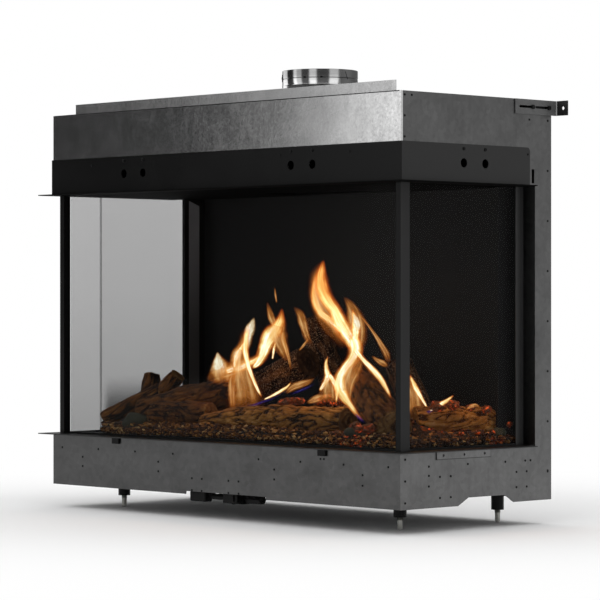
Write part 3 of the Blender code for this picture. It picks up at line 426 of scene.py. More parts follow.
nodeFinishes = {
    "frontSheet": ["upper_front_panel"],
    "lipSheet": ["top_lip"],
    "sideSheet": ["side_frame_left", "side_frame_right", "top_cover"],
    "tabSheet": ["side_tab_left", "side_tab_right"],
    "rearSheet": ["rear_panel"],
    "bracketSheet": ["wall_bracket_left", "wall_bracket_right"],
    "baseSheet": ["base_front_panel", "base_floor"],
    "blackCoat": ["trim_band_left", "trim_band_right", "lower_sill_plate"],
    "postCoat": ["corner_post_left", "corner_post_right"],
    "litStripCoat": ["rear_glass_strip_left", "rear_glass_strip_right"],
    "mattCoat": ["front_clip_left", "front_clip_right",
                 "glass_rail", "leg_sleeve_front_left", "leg_sleeve_front_right",
                 "leg_sleeve_rear_left", "leg_sleeve_rear_right", "trim_band_front"],
    "sillCoat": ["upper_sill_plate"],
    "chamberCoat": ["firebox_back", "firebox_jamb_right", "flue_hood"],
    "litJambCoat": ["firebox_jamb_left"],
    # the bracket studs and their backing strip take this black: painted shade in the side frame's slots
    "castBlack": ["gas_valve", "receiver_box", "valve_knob", "bracket_studs_left",
                  "bracket_studs_right"],
    "glass": ["front_glass", "side_glass_left", "side_glass_right"],
    "flueSteel": ["flue_collar", "inner_flue", "supply_pipe"],
    "zinc": ["burner_deck", "burner_pan",
             "levelling_stud_front_left", "levelling_stud_front_right",
             "levelling_stud_rear_left", "levelling_stud_rear_right"],
    "brass": ["pilot_burner"],
}
for finish, names in nodeFinishes.items():
    for name in names:
        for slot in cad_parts[name].material_slots:
            slot.material = finishes[finish]
print("sheet metal, glass and steel finished")


# Small helpers for modelling

def startModelling():
    if bpy.context.object and bpy.context.object.mode != "OBJECT":
        bpy.ops.object.mode_set(mode="OBJECT")
    bpy.ops.object.select_all(action="DESELECT")


def editMode(kind):
    bpy.ops.object.mode_set(mode="EDIT")
    bpy.ops.mesh.select_mode(type=kind)
    bpy.ops.mesh.select_all(action="DESELECT")
    bpy.ops.object.mode_set(mode="OBJECT")


def pickFaces(piece, test):
    editMode("FACE")
    for face in piece.data.polygons:
        face.select = test(face.center, face.normal)
    bpy.ops.object.mode_set(mode="EDIT")


def pickEdges(piece, test):
    editMode("EDGE")
    points = piece.data.vertices
    for edge in piece.data.edges:
        edge.select = test(points[edge.vertices[0]].co, points[edge.vertices[1]].co)
    bpy.ops.object.mode_set(mode="EDIT")


def finishPiece(piece, name, finish, body="casing", replaced=()):
    if piece.mode != "OBJECT":
        bpy.ops.object.mode_set(mode="OBJECT")
    piece.name = name
    piece.data.name = name
    piece.data.materials.clear()
    piece.data.materials.append(finish)
    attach(piece, body)
    if replaced:
        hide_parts(*replaced)
    return piece


def joinCopies(shapes, places, values=None):
    # each place is a matrix; each copy keeps its own mesh and values, then all join into one piece
    copies = []
    for index, place in enumerate(places):
        shape = shapes[index % len(shapes)]
        copy = shape.copy()
        copy.data = shape.data.copy()
        copy.data.transform(place)
        bpy.context.scene.collection.objects.link(copy)
        for key, given in (values or {}).items():
            row = copy.data.attributes.new(key, "FLOAT", "POINT")
            row.data.foreach_set("value", [given[index]] * len(copy.data.vertices))
        copies.append(copy)
    bpy.ops.object.select_all(action="DESELECT")
    for copy in copies:
        copy.select_set(True)
    bpy.context.view_layer.objects.active = copies[0]
    bpy.ops.object.join()
    for shape in shapes:
        bpy.data.objects.remove(shape)
    return bpy.context.object


# Flue collar: spun sheet with two beads

collarLook = {
    "centre": (0.0, 0.084),
    "radius": 0.078,
    "wall": 0.0015,
    "low": 0.8180,
    "top": 0.9110,
    "beads": ((0.8935, -0.0011, 0.0010), (0.8800, 0.0004, 0.0016)),  # height, reach, half width
    "rim": 0.0900,
    "seat": 0.8303,
    "steps": 160,
}


def buildCollar():
    look = collarLook
    outer = look["radius"]
    inner = outer - look["wall"]
    profile = [(inner, look["low"]), (outer, look["low"]), (outer, look["seat"]),
               (look["rim"], look["seat"]), (look["rim"], look["seat"] + look["wall"]),
               (outer + 0.0012, look["seat"] + look["wall"]), (outer, look["seat"] + 0.0030)]
    for middle, reach, half in reversed(look["beads"]):
        for step in range(7):
            part = -1 + step / 3
            profile.append((outer + reach * math.cos(part * math.pi / 2), middle + part * half))
    profile.extend([(outer, look["top"] - 0.0006), (outer - 0.0005, look["top"]),
                    (inner + 0.0005, look["top"]), (inner, look["top"] - 0.0006)])
    startModelling()
    bpy.ops.mesh.primitive_circle_add(vertices=len(profile), radius=0.01)
    piece = bpy.context.object
    x, y = look["centre"]
    for point, (r, z) in zip(piece.data.vertices, profile):
        point.co = (x + r, y, z)
    bpy.ops.object.mode_set(mode="EDIT")
    bpy.ops.mesh.select_all(action="SELECT")
    bpy.ops.mesh.spin(steps=look["steps"], angle=2 * math.pi, center=(x, y, 0), axis=(0, 0, 1))
    bpy.ops.mesh.select_all(action="SELECT")
    bpy.ops.mesh.remove_doubles(threshold=0.00002)
    bpy.ops.mesh.normals_make_consistent(inside=False)
    bpy.ops.object.mode_set(mode="OBJECT")
    bpy.ops.object.shade_smooth_by_angle(angle=math.radians(35))
    finishPiece(piece, "flue_collar_beaded", finishes["flueSteel"],
                replaced=("flue_collar",))


collarPartTable = [  # degrees round the collar, height, sizes across, out and up in mm, lean in degrees
    (0.0, 0.8985, (1.1, 0.9, 17.0), 24), (232.0, 0.8960, (7.0, 1.6, 15.0), 0),
    (232.0, 0.8960, (3.0, 3.4, 5.0), 0), (265.0, 0.8940, (5.0, 1.2, 3.0), 0),
    (292.0, 0.8940, (5.0, 1.2, 3.0), 0), (318.0, 0.8940, (5.0, 1.2, 3.0), 0)]


def buildCollarParts():
    # the lap seam, the clip and the crimps that hold the collar's ring, in black: painted shade in the seam
    # and crimps
    made = []
    for degrees, z, (across, out, up), lean in collarPartTable:
        startModelling()
        bpy.ops.mesh.primitive_cube_add(size=1)
        piece = bpy.context.object
        piece.data.transform(Matrix.Diagonal((out * millimetre, across * millimetre, up * millimetre, 1)))
        bpy.ops.object.mode_set(mode="EDIT")
        bpy.ops.mesh.select_all(action="SELECT")
        bpy.ops.mesh.bevel(offset=0.0003, segments=2, affect="EDGES")
        bpy.ops.object.mode_set(mode="OBJECT")
        x, y = collarLook["centre"]
        spin = Matrix.Rotation(math.radians(degrees), 4, "Z")
        piece.data.transform(Matrix.Translation((x, y, z)) @ spin
                             @ Matrix.Translation((collarLook["radius"], 0, 0))
                             @ Matrix.Rotation(math.radians(lean), 4, "X"))
        made.append(piece)
    bpy.ops.object.select_all(action="DESELECT")
    for piece in made:
        piece.select_set(True)
    bpy.context.view_layer.objects.active = made[0]
    bpy.ops.object.join()
    finishPiece(made[0], "collar_seam_and_clip", finishes["castBlack"])


buildCollar()
buildCollarParts()
print("flue collar built")


# Rivets and screws

fastenerLook = {
    "rivetRadius": 0.0022,
    "rivetHeight": 0.0009,
    "screwRadius": 0.0034,
    "screwHeight": 0.0016,
    # places in mm: X and z on the front sheets, back and z on the side sheets
    "baseFront": [(-486.8, 126.6), (-418.4, 109.1), (-418.4, 89.8), (-366.9, 127.3), (-248.2, 127.1),
                  (-129.6, 127.2), (-174.7, 109.2), (-174.7, 89.6), (-71, 80.4), (-41.2, 80.4),
                  (-71, 56.4), (-41.2, 56.4), (38.6, 80.4), (68.4, 80.4), (38.6, 56.4), (68.4, 56.4),
                  (126.6, 126.8), (171.7, 108.8), (171.7, 89.5), (245.8, 127), (364.9, 126.6),
                  (416, 109), (416, 89.2), (484.1, 127.1), (301.7, 135.0), (311.1, 135.0)],
    "baseSide": [(11.4, 142.1), (11.4, 101.5), (11.4, 60.7), (75.1, 126.5), (75.1, 109.1),
                 (75.1, 89.2), (105.3, 106), (135, 106), (105.3, 66.2), (135, 66.2), (182.3, 127),
                 (288.3, 127), (345.8, 127), (360.9, 127), (320.3, 106), (349.9, 106),
                 (320.3, 76.4), (349.9, 76.4), (411.5, 104.9)],
    "upperSide": [(10.1, 822.4), (29.1, 822.4), (10.1, 783.3), (10.1, 744), (357.7, 790.6)],
    "rearEdge": [(411.5, 790.5 - 98.2 * i) for i in range(8)],
    "bandFront": [(-385.5, 720), (191.5, 720.5), (383.4, 721)],
    "bandScrews": [(-281, 727), (-221, 727), (221, 727), (281, 727)],
    "bandSide": [(351.1, 722.5)],
    "bandSideScrews": [(169, 727), (229, 727)],
    "rearPanel": [(x, z) for x in range(-480, 481, 120) for z in (66, 812)]
                 + [(x, z) for x in (-505, 505) for z in range(140, 790, 90)],
}


def rivetShape(radius, height):
    # a domed head with a small pit where the pin broke off
    startModelling()
    bpy.ops.mesh.primitive_cylinder_add(vertices=14, radius=radius, depth=height,
                                        location=(0, 0, height / 2))
    piece = bpy.context.object
    bpy.ops.object.transform_apply(location=True)
    pickFaces(piece, lambda centre, normal: normal.z > 0.9)
    bpy.ops.mesh.bevel(offset=height * 0.55, segments=2, affect="EDGES")
    bpy.ops.object.mode_set(mode="OBJECT")
    pickFaces(piece, lambda centre, normal: normal.z > 0.99)
    bpy.ops.mesh.inset(thickness=radius * 0.25)
    bpy.ops.mesh.extrude_region_move(TRANSFORM_OT_translate={"value": (0, 0, -height * 0.4)})
    bpy.ops.object.mode_set(mode="OBJECT")
    return piece


def buildFasteners():
    look = fastenerLook
    faceFront = Matrix.Rotation(math.pi / 2, 4, "X")
    faceRight = Matrix.Rotation(math.pi / 2, 4, "Y")
    faceLeft = Matrix.Rotation(-math.pi / 2, 4, "Y")
    faceBack = Matrix.Rotation(-math.pi / 2, 4, "X")

    def onFront(pairs, y):
        return [Matrix.Translation((x * millimetre, y, z * millimetre)) @ faceFront for x, z in pairs]

    def onSides(pairs, reach):
        right = [Matrix.Translation((reach, frontPlane + b * millimetre, z * millimetre)) @ faceRight
                 for b, z in pairs]
        left = [Matrix.Translation((-reach, frontPlane + b * millimetre, z * millimetre)) @ faceLeft
                for b, z in pairs]
        return right + left

    places = onFront(look["baseFront"], frontPlane) + onFront(look["bandFront"], -0.2083)
    places += onSides(look["baseSide"] + look["upperSide"] + look["rearEdge"], 0.517)
    places += onSides(look["bandSide"], 0.5193)
    places += [Matrix.Translation((x * millimetre, 0.216, z * millimetre)) @ faceBack
               for x, z in look["rearPanel"]]
    rivets = joinCopies([rivetShape(look["rivetRadius"], look["rivetHeight"])], places)
    finishPiece(rivets, "sheet_rivets", finishes["castBlack"])
    places = onFront(look["bandScrews"], -0.2083) + onSides(look["bandSideScrews"], 0.5193)
    screws = joinCopies([rivetShape(look["screwRadius"], look["screwHeight"])], places)
    finishPiece(screws, "band_screws", finishes["castBlack"])


studLook = {
    "radius": 0.0060,
    "tipRadius": 0.0052,
    "pitch": 0.00175,
    "threadDepth": 0.0007,
    "top": 0.0500,
    "steps": 28,
    "places": {"front_left": (-0.410, -0.099), "front_right": (0.410, -0.099),
               "rear_left": (-0.410, 0.177), "rear_right": (0.410, 0.177)},
}


def buildStuds():
    # threaded studs with a turned tip that stands on the floor
    look = studLook
    for key, (x, y) in look["places"].items():
        profile = [(0.0, 0.0), (look["tipRadius"] - 0.0012, 0.0), (look["tipRadius"], 0.0012),
                   (look["tipRadius"], 0.0140), (look["radius"] - look["threadDepth"], 0.0176)]
        z = 0.0180
        while z + look["pitch"] < look["top"]:
            profile.append((look["radius"] - look["threadDepth"], z))
            profile.append((look["radius"], z + look["pitch"] * 0.5))
            z += look["pitch"]
        profile.extend([(look["radius"] - look["threadDepth"], look["top"]), (0.0, look["top"])])
        startModelling()
        bpy.ops.mesh.primitive_circle_add(vertices=len(profile), radius=0.01)
        piece = bpy.context.object
        bpy.ops.object.mode_set(mode="EDIT")
        bpy.ops.object.mode_set(mode="OBJECT")
        for point, (r, height) in zip(piece.data.vertices, profile):
            point.co = (x + r, y, height)
        pickEdges(piece, lambda a, b: abs(a.x - x) < 1e-7 and abs(b.x - x) < 1e-7)
        bpy.ops.mesh.delete(type="EDGE")
        bpy.ops.mesh.select_all(action="SELECT")
        bpy.ops.mesh.spin(steps=look["steps"], angle=2 * math.pi, center=(x, y, 0), axis=(0, 0, 1))
        bpy.ops.mesh.select_all(action="SELECT")
        bpy.ops.mesh.remove_doubles(threshold=0.00002)
        bpy.ops.mesh.normals_make_consistent(inside=False)
        bpy.ops.object.mode_set(mode="OBJECT")
        bpy.ops.object.shade_smooth_by_angle(angle=math.radians(35))
        node = "levelling_stud_" + key
        finishPiece(piece, node + "_threaded", finishes["brightZinc"], body=node,
                    replaced=(node,))


# hex nuts and collars on the valve's pipe: X, radius, length in mm and number of sides
unionTable = [(58, 9.0, 6, 6), (67, 10.5, 8, 6), (76, 7.5, 10, 24), (86, 9.5, 8, 6), (95, 7.0, 9, 24),
              (-52, 6.5, 8, 6), (-49, 4.5, 12, 24)]
unionLine = (-0.171, 0.0485)  # world y and z of the pipe's axis


def buildUnions():
    made = []
    for x, radius, length, sides in unionTable:
        startModelling()
        bpy.ops.mesh.primitive_cylinder_add(vertices=sides, radius=radius * millimetre,
                                            depth=length * millimetre)
        piece = bpy.context.object
        bpy.ops.object.mode_set(mode="EDIT")
        bpy.ops.mesh.select_all(action="SELECT")
        bpy.ops.mesh.bevel(offset=0.0006, segments=2, affect="EDGES")
        bpy.ops.object.mode_set(mode="OBJECT")
        piece.data.transform(Matrix.Translation((x * millimetre, *unionLine))
                             @ Matrix.Rotation(math.pi / 2, 4, "Y"))
        made.append(piece)
    bpy.ops.object.select_all(action="DESELECT")
    for piece in made:
        piece.select_set(True)
    bpy.context.view_layer.objects.active = made[0]
    bpy.ops.object.join()
    finishPiece(made[0], "valve_unions", finishes["castBlack"])


seamShadowLook = {"half": 0.5135, "front": -0.2066, "depth": 0.0030, "low": 0.8284, "high": 0.8302}


def buildSeamShadow():
    # a black strip in the seam between the front sheet and the top cover: painted shadow of the gap
    look = seamShadowLook
    startModelling()
    bpy.ops.mesh.primitive_cube_add(size=1)
    piece = bpy.context.object
    for point in piece.data.vertices:
        point.co = (point.co.x * 2 * look["half"], look["front"] + (point.co.y + 0.5) * look["depth"],
                    look["low"] + (point.co.z + 0.5) * (look["high"] - look["low"]))
    bpy.ops.object.mode_set(mode="EDIT")
    bpy.ops.mesh.select_all(action="SELECT")
    bpy.ops.mesh.bevel(offset=0.0005, segments=2, affect="EDGES")
    bpy.ops.object.mode_set(mode="OBJECT")
    finishPiece(piece, "front_seam_painted_shadow", finishes["castBlack"])


buildFasteners()
buildStuds()
buildUnions()
buildSeamShadow()
print("rivets, screws and seam placed")


# Ceramic logs

def barkFinish(name, look):
    # fibre-ceramic log, cast from real bark and stained: dark grooves, lighter fibrous ridges
    material, tree, shader, _ = newFinish(name)
    depth = addNode(tree, "Attribute", {"attribute_name": "grooveDepth"}).outputs["Fac"]
    cut = addNode(tree, "Attribute", {"attribute_name": "cutWood"}).outputs["Fac"]
    along = addNode(tree, "Attribute", {"attribute_name": "barkPlace"}).outputs["Vector"]
    fibre = addNode(tree, "Mapping", None, {"Vector": along, "Scale": (520.0, 520.0, 60.0)})
    fibre = addNode(tree, "TexNoise", None, {"Vector": fibre.outputs[0], "Scale": 1.0, "Detail": 6.0,
                                             "Roughness": 0.7})
    patch = addNode(tree, "TexNoise", None, {"Vector": along, "Scale": 26.0, "Detail": 4.0})
    speck = addNode(tree, "TexNoise", None, {"Vector": along, "Scale": look["speckScale"], "Detail": 2.0})
    height = addNode(tree, "Mix", {"data_type": "FLOAT"}, {0: 0.30, 2: depth, 3: fibre.outputs["Fac"]})
    bark = addNode(tree, "ValToRGB", {"stops": [(w, linearColor(c)) for w, c in look["bark"]]},
                   {0: height.outputs[0]})
    stain = addNode(tree, "MapRange", None, {"Value": patch.outputs["Fac"], "From Min": 0.45,
                                             "From Max": 0.68, "To Max": look["stainAmount"]})
    bark = addNode(tree, "Mix", {"data_type": "RGBA", "blend_type": "MULTIPLY"},
                   {0: stain.outputs[0], 6: bark.outputs[0], 7: linearColor(look["stain"])})
    spark = addNode(tree, "MapRange", None, {"Value": speck.outputs["Fac"], "From Min": look["speckFrom"],
                                             "From Max": look["speckFrom"] + 0.05,
                                             "To Max": look["speckAmount"]})
    bark = addNode(tree, "Mix", {"data_type": "RGBA"},
                   {0: spark.outputs[0], 6: bark.outputs[2], 7: linearColor(look["speck"])})
    rings = addNode(tree, "ValToRGB", {"stops": [(w, linearColor(c)) for w, c in look["cut"]]},
                    {0: height.outputs[0]})
    color = addNode(tree, "Mix", {"data_type": "RGBA"}, {0: cut, 6: bark.outputs[2], 7: rings.outputs[0]})
    bump = addNode(tree, "Bump", None, {"Strength": 0.8, "Distance": 0.0010,
                                        "Height": fibre.outputs["Fac"]})
    tree.links.new(color.outputs[2], shader.inputs["Base Color"])
    tree.links.new(bump.outputs[0], shader.inputs["Normal"])
    shader.inputs["Roughness"].default_value = 0.85
    shader.inputs["Specular IOR Level"].default_value = 0.25
    return material


barkOchre = [(0.0, "#080401"), (0.28, "#2e1a08"), (0.48, "#82541f"), (0.72, "#b07c36"), (1.0, "#dcb470")]
barkBrown = [(0.0, "#080401"), (0.28, "#26140a"), (0.48, "#583412"), (0.72, "#784a1e"), (1.0, "#b4803e")]
barkDark = [(0.0, "#070403"), (0.28, "#1c0f08"), (0.48, "#442814"), (0.72, "#643e22"), (1.0, "#a47c54")]
cutTan = [(0.0, "#0a0604"), (0.35, "#3a2414"), (0.6, "#7a5830"), (1.0, "#b48c54")]
cutDark = [(0.0, "#060404"), (0.35, "#24160e"), (0.6, "#48301e"), (1.0, "#7a5a3c")]
# painted light: a lighter copy of the brown bark, for the log by the right pane
barkLit = [(0.0, "#140b04"), (0.28, "#4c2e12"), (0.48, "#a8702e"), (0.72, "#d09848"), (1.0, "#f0cc88")]
logFinishes = {
    "pale": barkFinish("ceramic_bark_painted_lighter", {
        "bark": barkLit, "cut": barkLit, "stain": "#9a8454", "stainAmount": 0.6,
        "speck": "#e8bc78", "speckAmount": 0.5,
        "speckScale": 260.0, "speckFrom": 0.65}),
    "ochre": barkFinish("stained_ceramic_bark_ochre", {
        "bark": barkOchre, "cut": cutTan, "stain": "#8a8058", "stainAmount": 0.6,
        "speck": "#d8a860", "speckAmount": 0.5,
        "speckScale": 260.0, "speckFrom": 0.65}),
    "brown": barkFinish("stained_ceramic_bark_brown", {
        "bark": barkBrown, "cut": cutTan, "stain": "#8a5030", "stainAmount": 0.6,
        "speck": "#c8924c", "speckAmount": 0.5,
        "speckScale": 260.0, "speckFrom": 0.65}),
    "dark": barkFinish("charred_ceramic_bark", {
        "bark": barkDark, "cut": cutDark, "stain": "#5a3020", "stainAmount": 0.7,
        "speck": "#c09a78", "speckAmount": 0.7,
        "speckScale": 330.0, "speckFrom": 0.57}),
}

logLook = {
    "around": 84,
    "step": 0.0028,  # length between rings of points
    "ridge": (0.0078, 0.052),  # width and length of the bark's ridges, coarse then fine
    "fibre": (0.0036, 0.026),
    "wave": (17, 0.010),  # how closely and how far the ridges wander
}
# ends in mm, radii at the two ends in mm, finish, groove depth in mm, lumps, bend in mm, seed
logTable = {
    "forked_log_bark": (("forked_log",), "brown", [
        ((-450.1, -120.9, 183.6), (-335.2, -27.9, 262.5), 18.5, 16.5, 2.2, 0.10, 4, 3),
        ((-394.0, -46.1, 220.6), (-408.0, -24.2, 276.0), 21.0, 19.0, 2.2, 0.12, 0, 5),
        ((-352.0, -37.9, 242.4), (-322.0, -26.0, 278.0), 20.0, 18.0, 2.2, 0.12, 0, 8)]),
    "brown_log_bark": (("brown_log",), "brown", [
        ((-335.2, -105.8, 198.0), (-92.0, -33.0, 262.5), 37.0, 31.0, 2.6, 0.16, 6, 13),
        ((-272.0, -122.0, 199.0), (-124.0, -108.0, 205.0), 31.5, 26.0, 1.8, 0.16, 4, 17)]),
    "front_log_bark": (("front_bark_log",), "ochre", [
        ((-116.0, -134.0, 189.5), (278.2, -110.8, 202.3), 33.5, 31.0, 4.4, 0.17, 6, 21,
         (0.140, 0.52))]),
    "inclined_log_bark": (("inclined_log",), "dark", [
        ((-290.0, 41.9, 200.4), (2.0, 49.2, 312.2), 31.0, 33.0, 2.6, 0.10, 5, 34)]),
    "upright_log_bark": (("upright_log",), "dark", [
        ((52.0, 123.1, 184.4), (-65.2, 130.8, 395.2), 29.0, 31.0, 2.8, 0.12, 6, 55)]),
    "right_log_bark": (("right_log",), "brown", [
        ((412.2, -120.9, 196.2), (200.2, -11.0, 292.6), 38.5, 35.0, 3.2, 0.12, 6, 89)]),
    "rear_right_log_bark": (("rear_right_log",), "dark", [
        ((300.0, 86.1, 190.4), (214.8, 96.2, 310.4), 31.0, 29.0, 2.6, 0.12, 4, 144)]),
    "right_bark_log_bark": (("right_bark_log",), "pale", [
        ((352.0, 1.8, 200.2), (425.0, 124.0, 200.2), 32.5, 29.5, 4.0, 0.15, 4, 233),
        ((423.0, 112.0, 199.0), (437.0, 163.0, 189.0), 31.0, 17.5, 4.0, 0.22, 0, 241)]),
}


# knots: middle on the log's surface in mm, and radius in mm
knotTable = {
    21: [((92, -162, 217), 15)],
}


def fineNoise(spot, shift):
    return noise.noise(spot * 90 + shift)


def buildLogPart(start, end, startRadius, endRadius, groove, lump, bend, seed, nose=None):
    look = logLook
    start = Vector(start) * millimetre
    end = Vector(end) * millimetre
    length = (end - start).length
    startModelling()
    bpy.ops.mesh.primitive_cylinder_add(vertices=look["around"], radius=1, depth=1, location=(0, 0, 0.5))
    piece = bpy.context.object
    bpy.ops.object.transform_apply(location=True)
    pickEdges(piece, lambda a, b: abs(a.z - b.z) > 0.5)
    bpy.ops.mesh.subdivide(number_cuts=int(length / look["step"]))
    bpy.ops.object.mode_set(mode="OBJECT")
    pickFaces(piece, lambda centre, normal: abs(normal.z) > 0.9)
    for _ in range(9):
        bpy.ops.mesh.inset(thickness=0.1, use_individual=True)
    bpy.ops.mesh.poke()
    bpy.ops.object.mode_set(mode="OBJECT")
    shift = Vector((seed * 1.37, seed * 0.71, seed * 2.13))
    turn = (end - start).to_track_quat("Z", "Y").to_matrix().to_4x4()
    back = turn.inverted() @ Matrix.Translation(-start)
    knots = [(back @ (Vector(middle) * millimetre), size * millimetre)
             for middle, size in knotTable.get(seed, ())]
    depths, cuts, places = [], [], []
    for point in piece.data.vertices:
        x, y, z = point.co
        reach = math.hypot(x, y)
        onBark = reach > 0.995
        radius = (startRadius + (endRadius - startRadius) * z) * millimetre
        if nose:  # thinner over the first stretch
            part = min(1.0, max(0.0, z * length / nose[0]))
            radius *= nose[1] + (1 - nose[1]) * part * part * (3 - 2 * part)
        spot = Vector((x * radius, y * radius, z * length))
        close, far = look["wave"]
        q = spot + noise.noise_vector(spot * close + shift) * far
        q += noise.noise_vector(spot * close * 3.5 - shift) * far * 0.22
        wide, long = look["ridge"]
        coarse = min(1.0, abs(noise.noise(Vector((q.x / wide, q.y / wide, q.z / long)) + shift)) * 3.4)
        plate = noise.noise(Vector((q.x / wide, q.y / wide, q.z / long)) * 0.45 - shift)
        wide, long = look["fibre"]
        thin = min(1.0, abs(noise.noise(Vector((q.x / wide, q.y / wide, q.z / long)) - shift)) * 3.4)
        ridge = coarse * (0.62 + 0.38 * thin)
        deep = 0.45 + 0.75 * min(1.0, max(0.0, 0.5 + 1.6 * noise.noise(spot * 24 - shift)))
        for middle, size in knots:
            away = (spot - middle).length / size
            if away < 1.2 and onBark:
                ring = 0.5 + 0.5 * math.cos(away * 3.2 * math.pi * 2 + 1.5 * fineNoise(spot, shift))
                part = min(1.0, (1.2 - away) / 0.25)
                ridge += (0.25 + 0.75 * ring - ridge) * part
                deep += (0.7 - deep) * part
        fine = noise.noise(spot * 330 + shift)
        swell = 1 + lump * noise.noise(spot * 16 + shift) + 0.5 * lump * noise.noise(spot * 42 - shift)
        if onBark:
            edge = min(z, 1 - z) * length
            out = radius * swell - groove * deep * millimetre * (1 - ridge) ** 1.4 + 0.0007 * fine
            out -= 0.002 * max(0.0, 1 - edge / 0.004)
            depths.append(max(0.0, min(1.0, 1 - (1 - ridge) * (0.35 + 0.65 * deep) - 0.28
                                       + 0.14 * (fine + 1) + 0.30 * plate)))
            cuts.append(max(0.0, 0.8 - edge / 0.003))
            place = spot
        else:
            ring = 0.5 + 0.5 * math.sin(reach * radius / 0.0022 * math.pi
                                        + 3 * noise.noise(spot * 60 + shift))
            crackle = min(1.0, abs(noise.noise(spot * 75 + shift)) * 4)
            out = reach * radius * swell
            rough = (0.0009 * ring + 0.0016 * crackle + 0.0030 * noise.noise(spot * 45 + shift))
            z += (rough if z > 0.5 else -rough) / length
            depths.append(0.25 + 0.45 * ring * crackle + 0.3 * reach)
            cuts.append(1.0)
            place = spot
        scale = out / reach if reach > 1e-6 else 0.0
        bow = math.sin(math.pi * min(1.0, max(0.0, z))) * bend * millimetre
        places.extend(place)
        point.co = (x * scale + bow, y * scale, z * length)
    for key, kind, field, data in (("grooveDepth", "FLOAT", "value", depths),
                                   ("cutWood", "FLOAT", "value", cuts),
                                   ("barkPlace", "FLOAT_VECTOR", "vector", places)):
        piece.data.attributes.new(key, kind, "POINT").data.foreach_set(field, data)
    piece.data.transform(Matrix.Translation(start) @ turn)
    bpy.ops.object.shade_smooth_by_angle(angle=math.radians(50))
    return piece


def buildLogs():
    for name, (nodes, finish, parts) in logTable.items():
        made = [buildLogPart(*part) for part in parts]
        bpy.ops.object.select_all(action="DESELECT")
        for part in made:
            part.select_set(True)
        bpy.context.view_layer.objects.active = made[0]
        if len(made) > 1:
            bpy.ops.object.join()
        finishPiece(made[0], name, logFinishes[finish], replaced=nodes)


buildLogs()
print("logs built")


# Ember bed

bedLook = {
    "x": 0.479,
    "front": -0.1735,
    "back": 0.171,
    "foot": 0.1602,
    "cuts": (190, 72),
    # heaps in mm: X, world y, half widths and height above the bed
    "heaps": [(60, -64, 230, 38, 46), (190, -74, 90, 34, 44), (-40, -20, 120, 60, 34),
              (330, -10, 90, 50, 34), (440, 50, 40, 80, 12), (300, 60, 90, 60, 60),
              (250, 110, 60, 40, 60), (-250, 20, 120, 60, 22), (370, -120, 80, 40, 14),
              (0, -160, 430, 14, 9), (455, 0, 22, 160, 8)],
}


def bedHeight(x, y):
    rise = 0.0
    for hx, hy, wx, wy, high in bedLook["heaps"]:
        away = ((x * 1000 - hx) / wx) ** 2 + ((y * 1000 - hy) / wy) ** 2
        rise = max(rise, high * math.exp(-away * 1.3)) + 0.12 * min(rise, high * math.exp(-away * 1.3))
    edge = min(1.0, (0.479 - abs(x)) / 0.014, (0.171 - y) / 0.014)
    rough = 2.2 * noise.noise(Vector((x, y, 0.3)) * 55) + 1.4 * noise.noise(Vector((x, y, 1.3)) * 130)
    return bedTop + (rise + rough + 1.0) * millimetre * max(0.0, edge)


def bareCorner(x, y):
    # the bed's left front corner is cut off by a slanting edge
    return x < -0.392 and (y - frontPlane) < 0.030 + (-0.392 - x) * 0.99


def chipFinish(name, stops, glowColor, glowStrength):
    # vermiculite and ember flakes: ochre to rust, a few of them glowing
    material, tree, shader, place = newFinish(name)
    tone = addNode(tree, "Attribute", {"attribute_name": "chipTone"}).outputs["Fac"]
    glow = addNode(tree, "Attribute", {"attribute_name": "chipGlow"}).outputs["Fac"]
    speck = addNode(tree, "TexNoise", None, {"Vector": place, "Scale": 480.0, "Detail": 3.0})
    tone = addNode(tree, "Mix", {"data_type": "FLOAT"}, {0: 0.3, 2: tone, 3: speck.outputs["Fac"]})
    color = addNode(tree, "ValToRGB", {"stops": [(w, linearColor(c)) for w, c in stops]},
                    {0: tone.outputs[0]})
    vein = addNode(tree, "TexNoise", None, {"Vector": place, "Scale": 150.0, "Detail": 3.0})
    vein = addNode(tree, "MapRange", None, {"Value": vein.outputs["Fac"], "From Min": 0.50,
                                            "From Max": 0.68})
    power = addNode(tree, "Math", {"operation": "MULTIPLY"}, {0: glow, 1: vein.outputs[0]})
    power = addNode(tree, "Math", {"operation": "MULTIPLY"}, {0: power.outputs[0], 1: glowStrength})
    heat = addNode(tree, "Mix", {"data_type": "RGBA"},
                   {0: vein.outputs[0], 6: linearColor(glowColor[0]), 7: linearColor(glowColor[1])})
    bump = addNode(tree, "Bump", None, {"Strength": 0.6, "Distance": 0.0006,
                                        "Height": speck.outputs["Fac"]})
    tree.links.new(color.outputs[0], shader.inputs["Base Color"])
    tree.links.new(heat.outputs[2], shader.inputs["Emission Color"])
    tree.links.new(power.outputs[0], shader.inputs["Emission Strength"])
    tree.links.new(bump.outputs[0], shader.inputs["Normal"])
    shader.inputs["Roughness"].default_value = 0.7
    return material


chipStops = [(0.0, "#090401"), (0.3, "#2e1606"), (0.5, "#663a12"), (0.7, "#b4782a"), (1.0, "#ffe09a")]
chips = chipFinish("vermiculite_and_ember_flakes", chipStops, ("#8a1c08", "#ff6424"), 1.1)
ash = chipFinish("dark_ash_and_vermiculite", [(0.0, "#080402"), (0.4, "#1e1006"), (0.6, "#3a200c"),
                                              (0.8, "#5e3a16"), (1.0, "#c8924a")],
                 ("#801404", "#ff5a18"), 0.0)
stone = coatedSteel("grey_green_ceramic_pebble", {
    "dark": "#2c2e24", "light": "#4e5040", "roughness": 0.75, "peel": 0.0060, "gloss": 0.30})


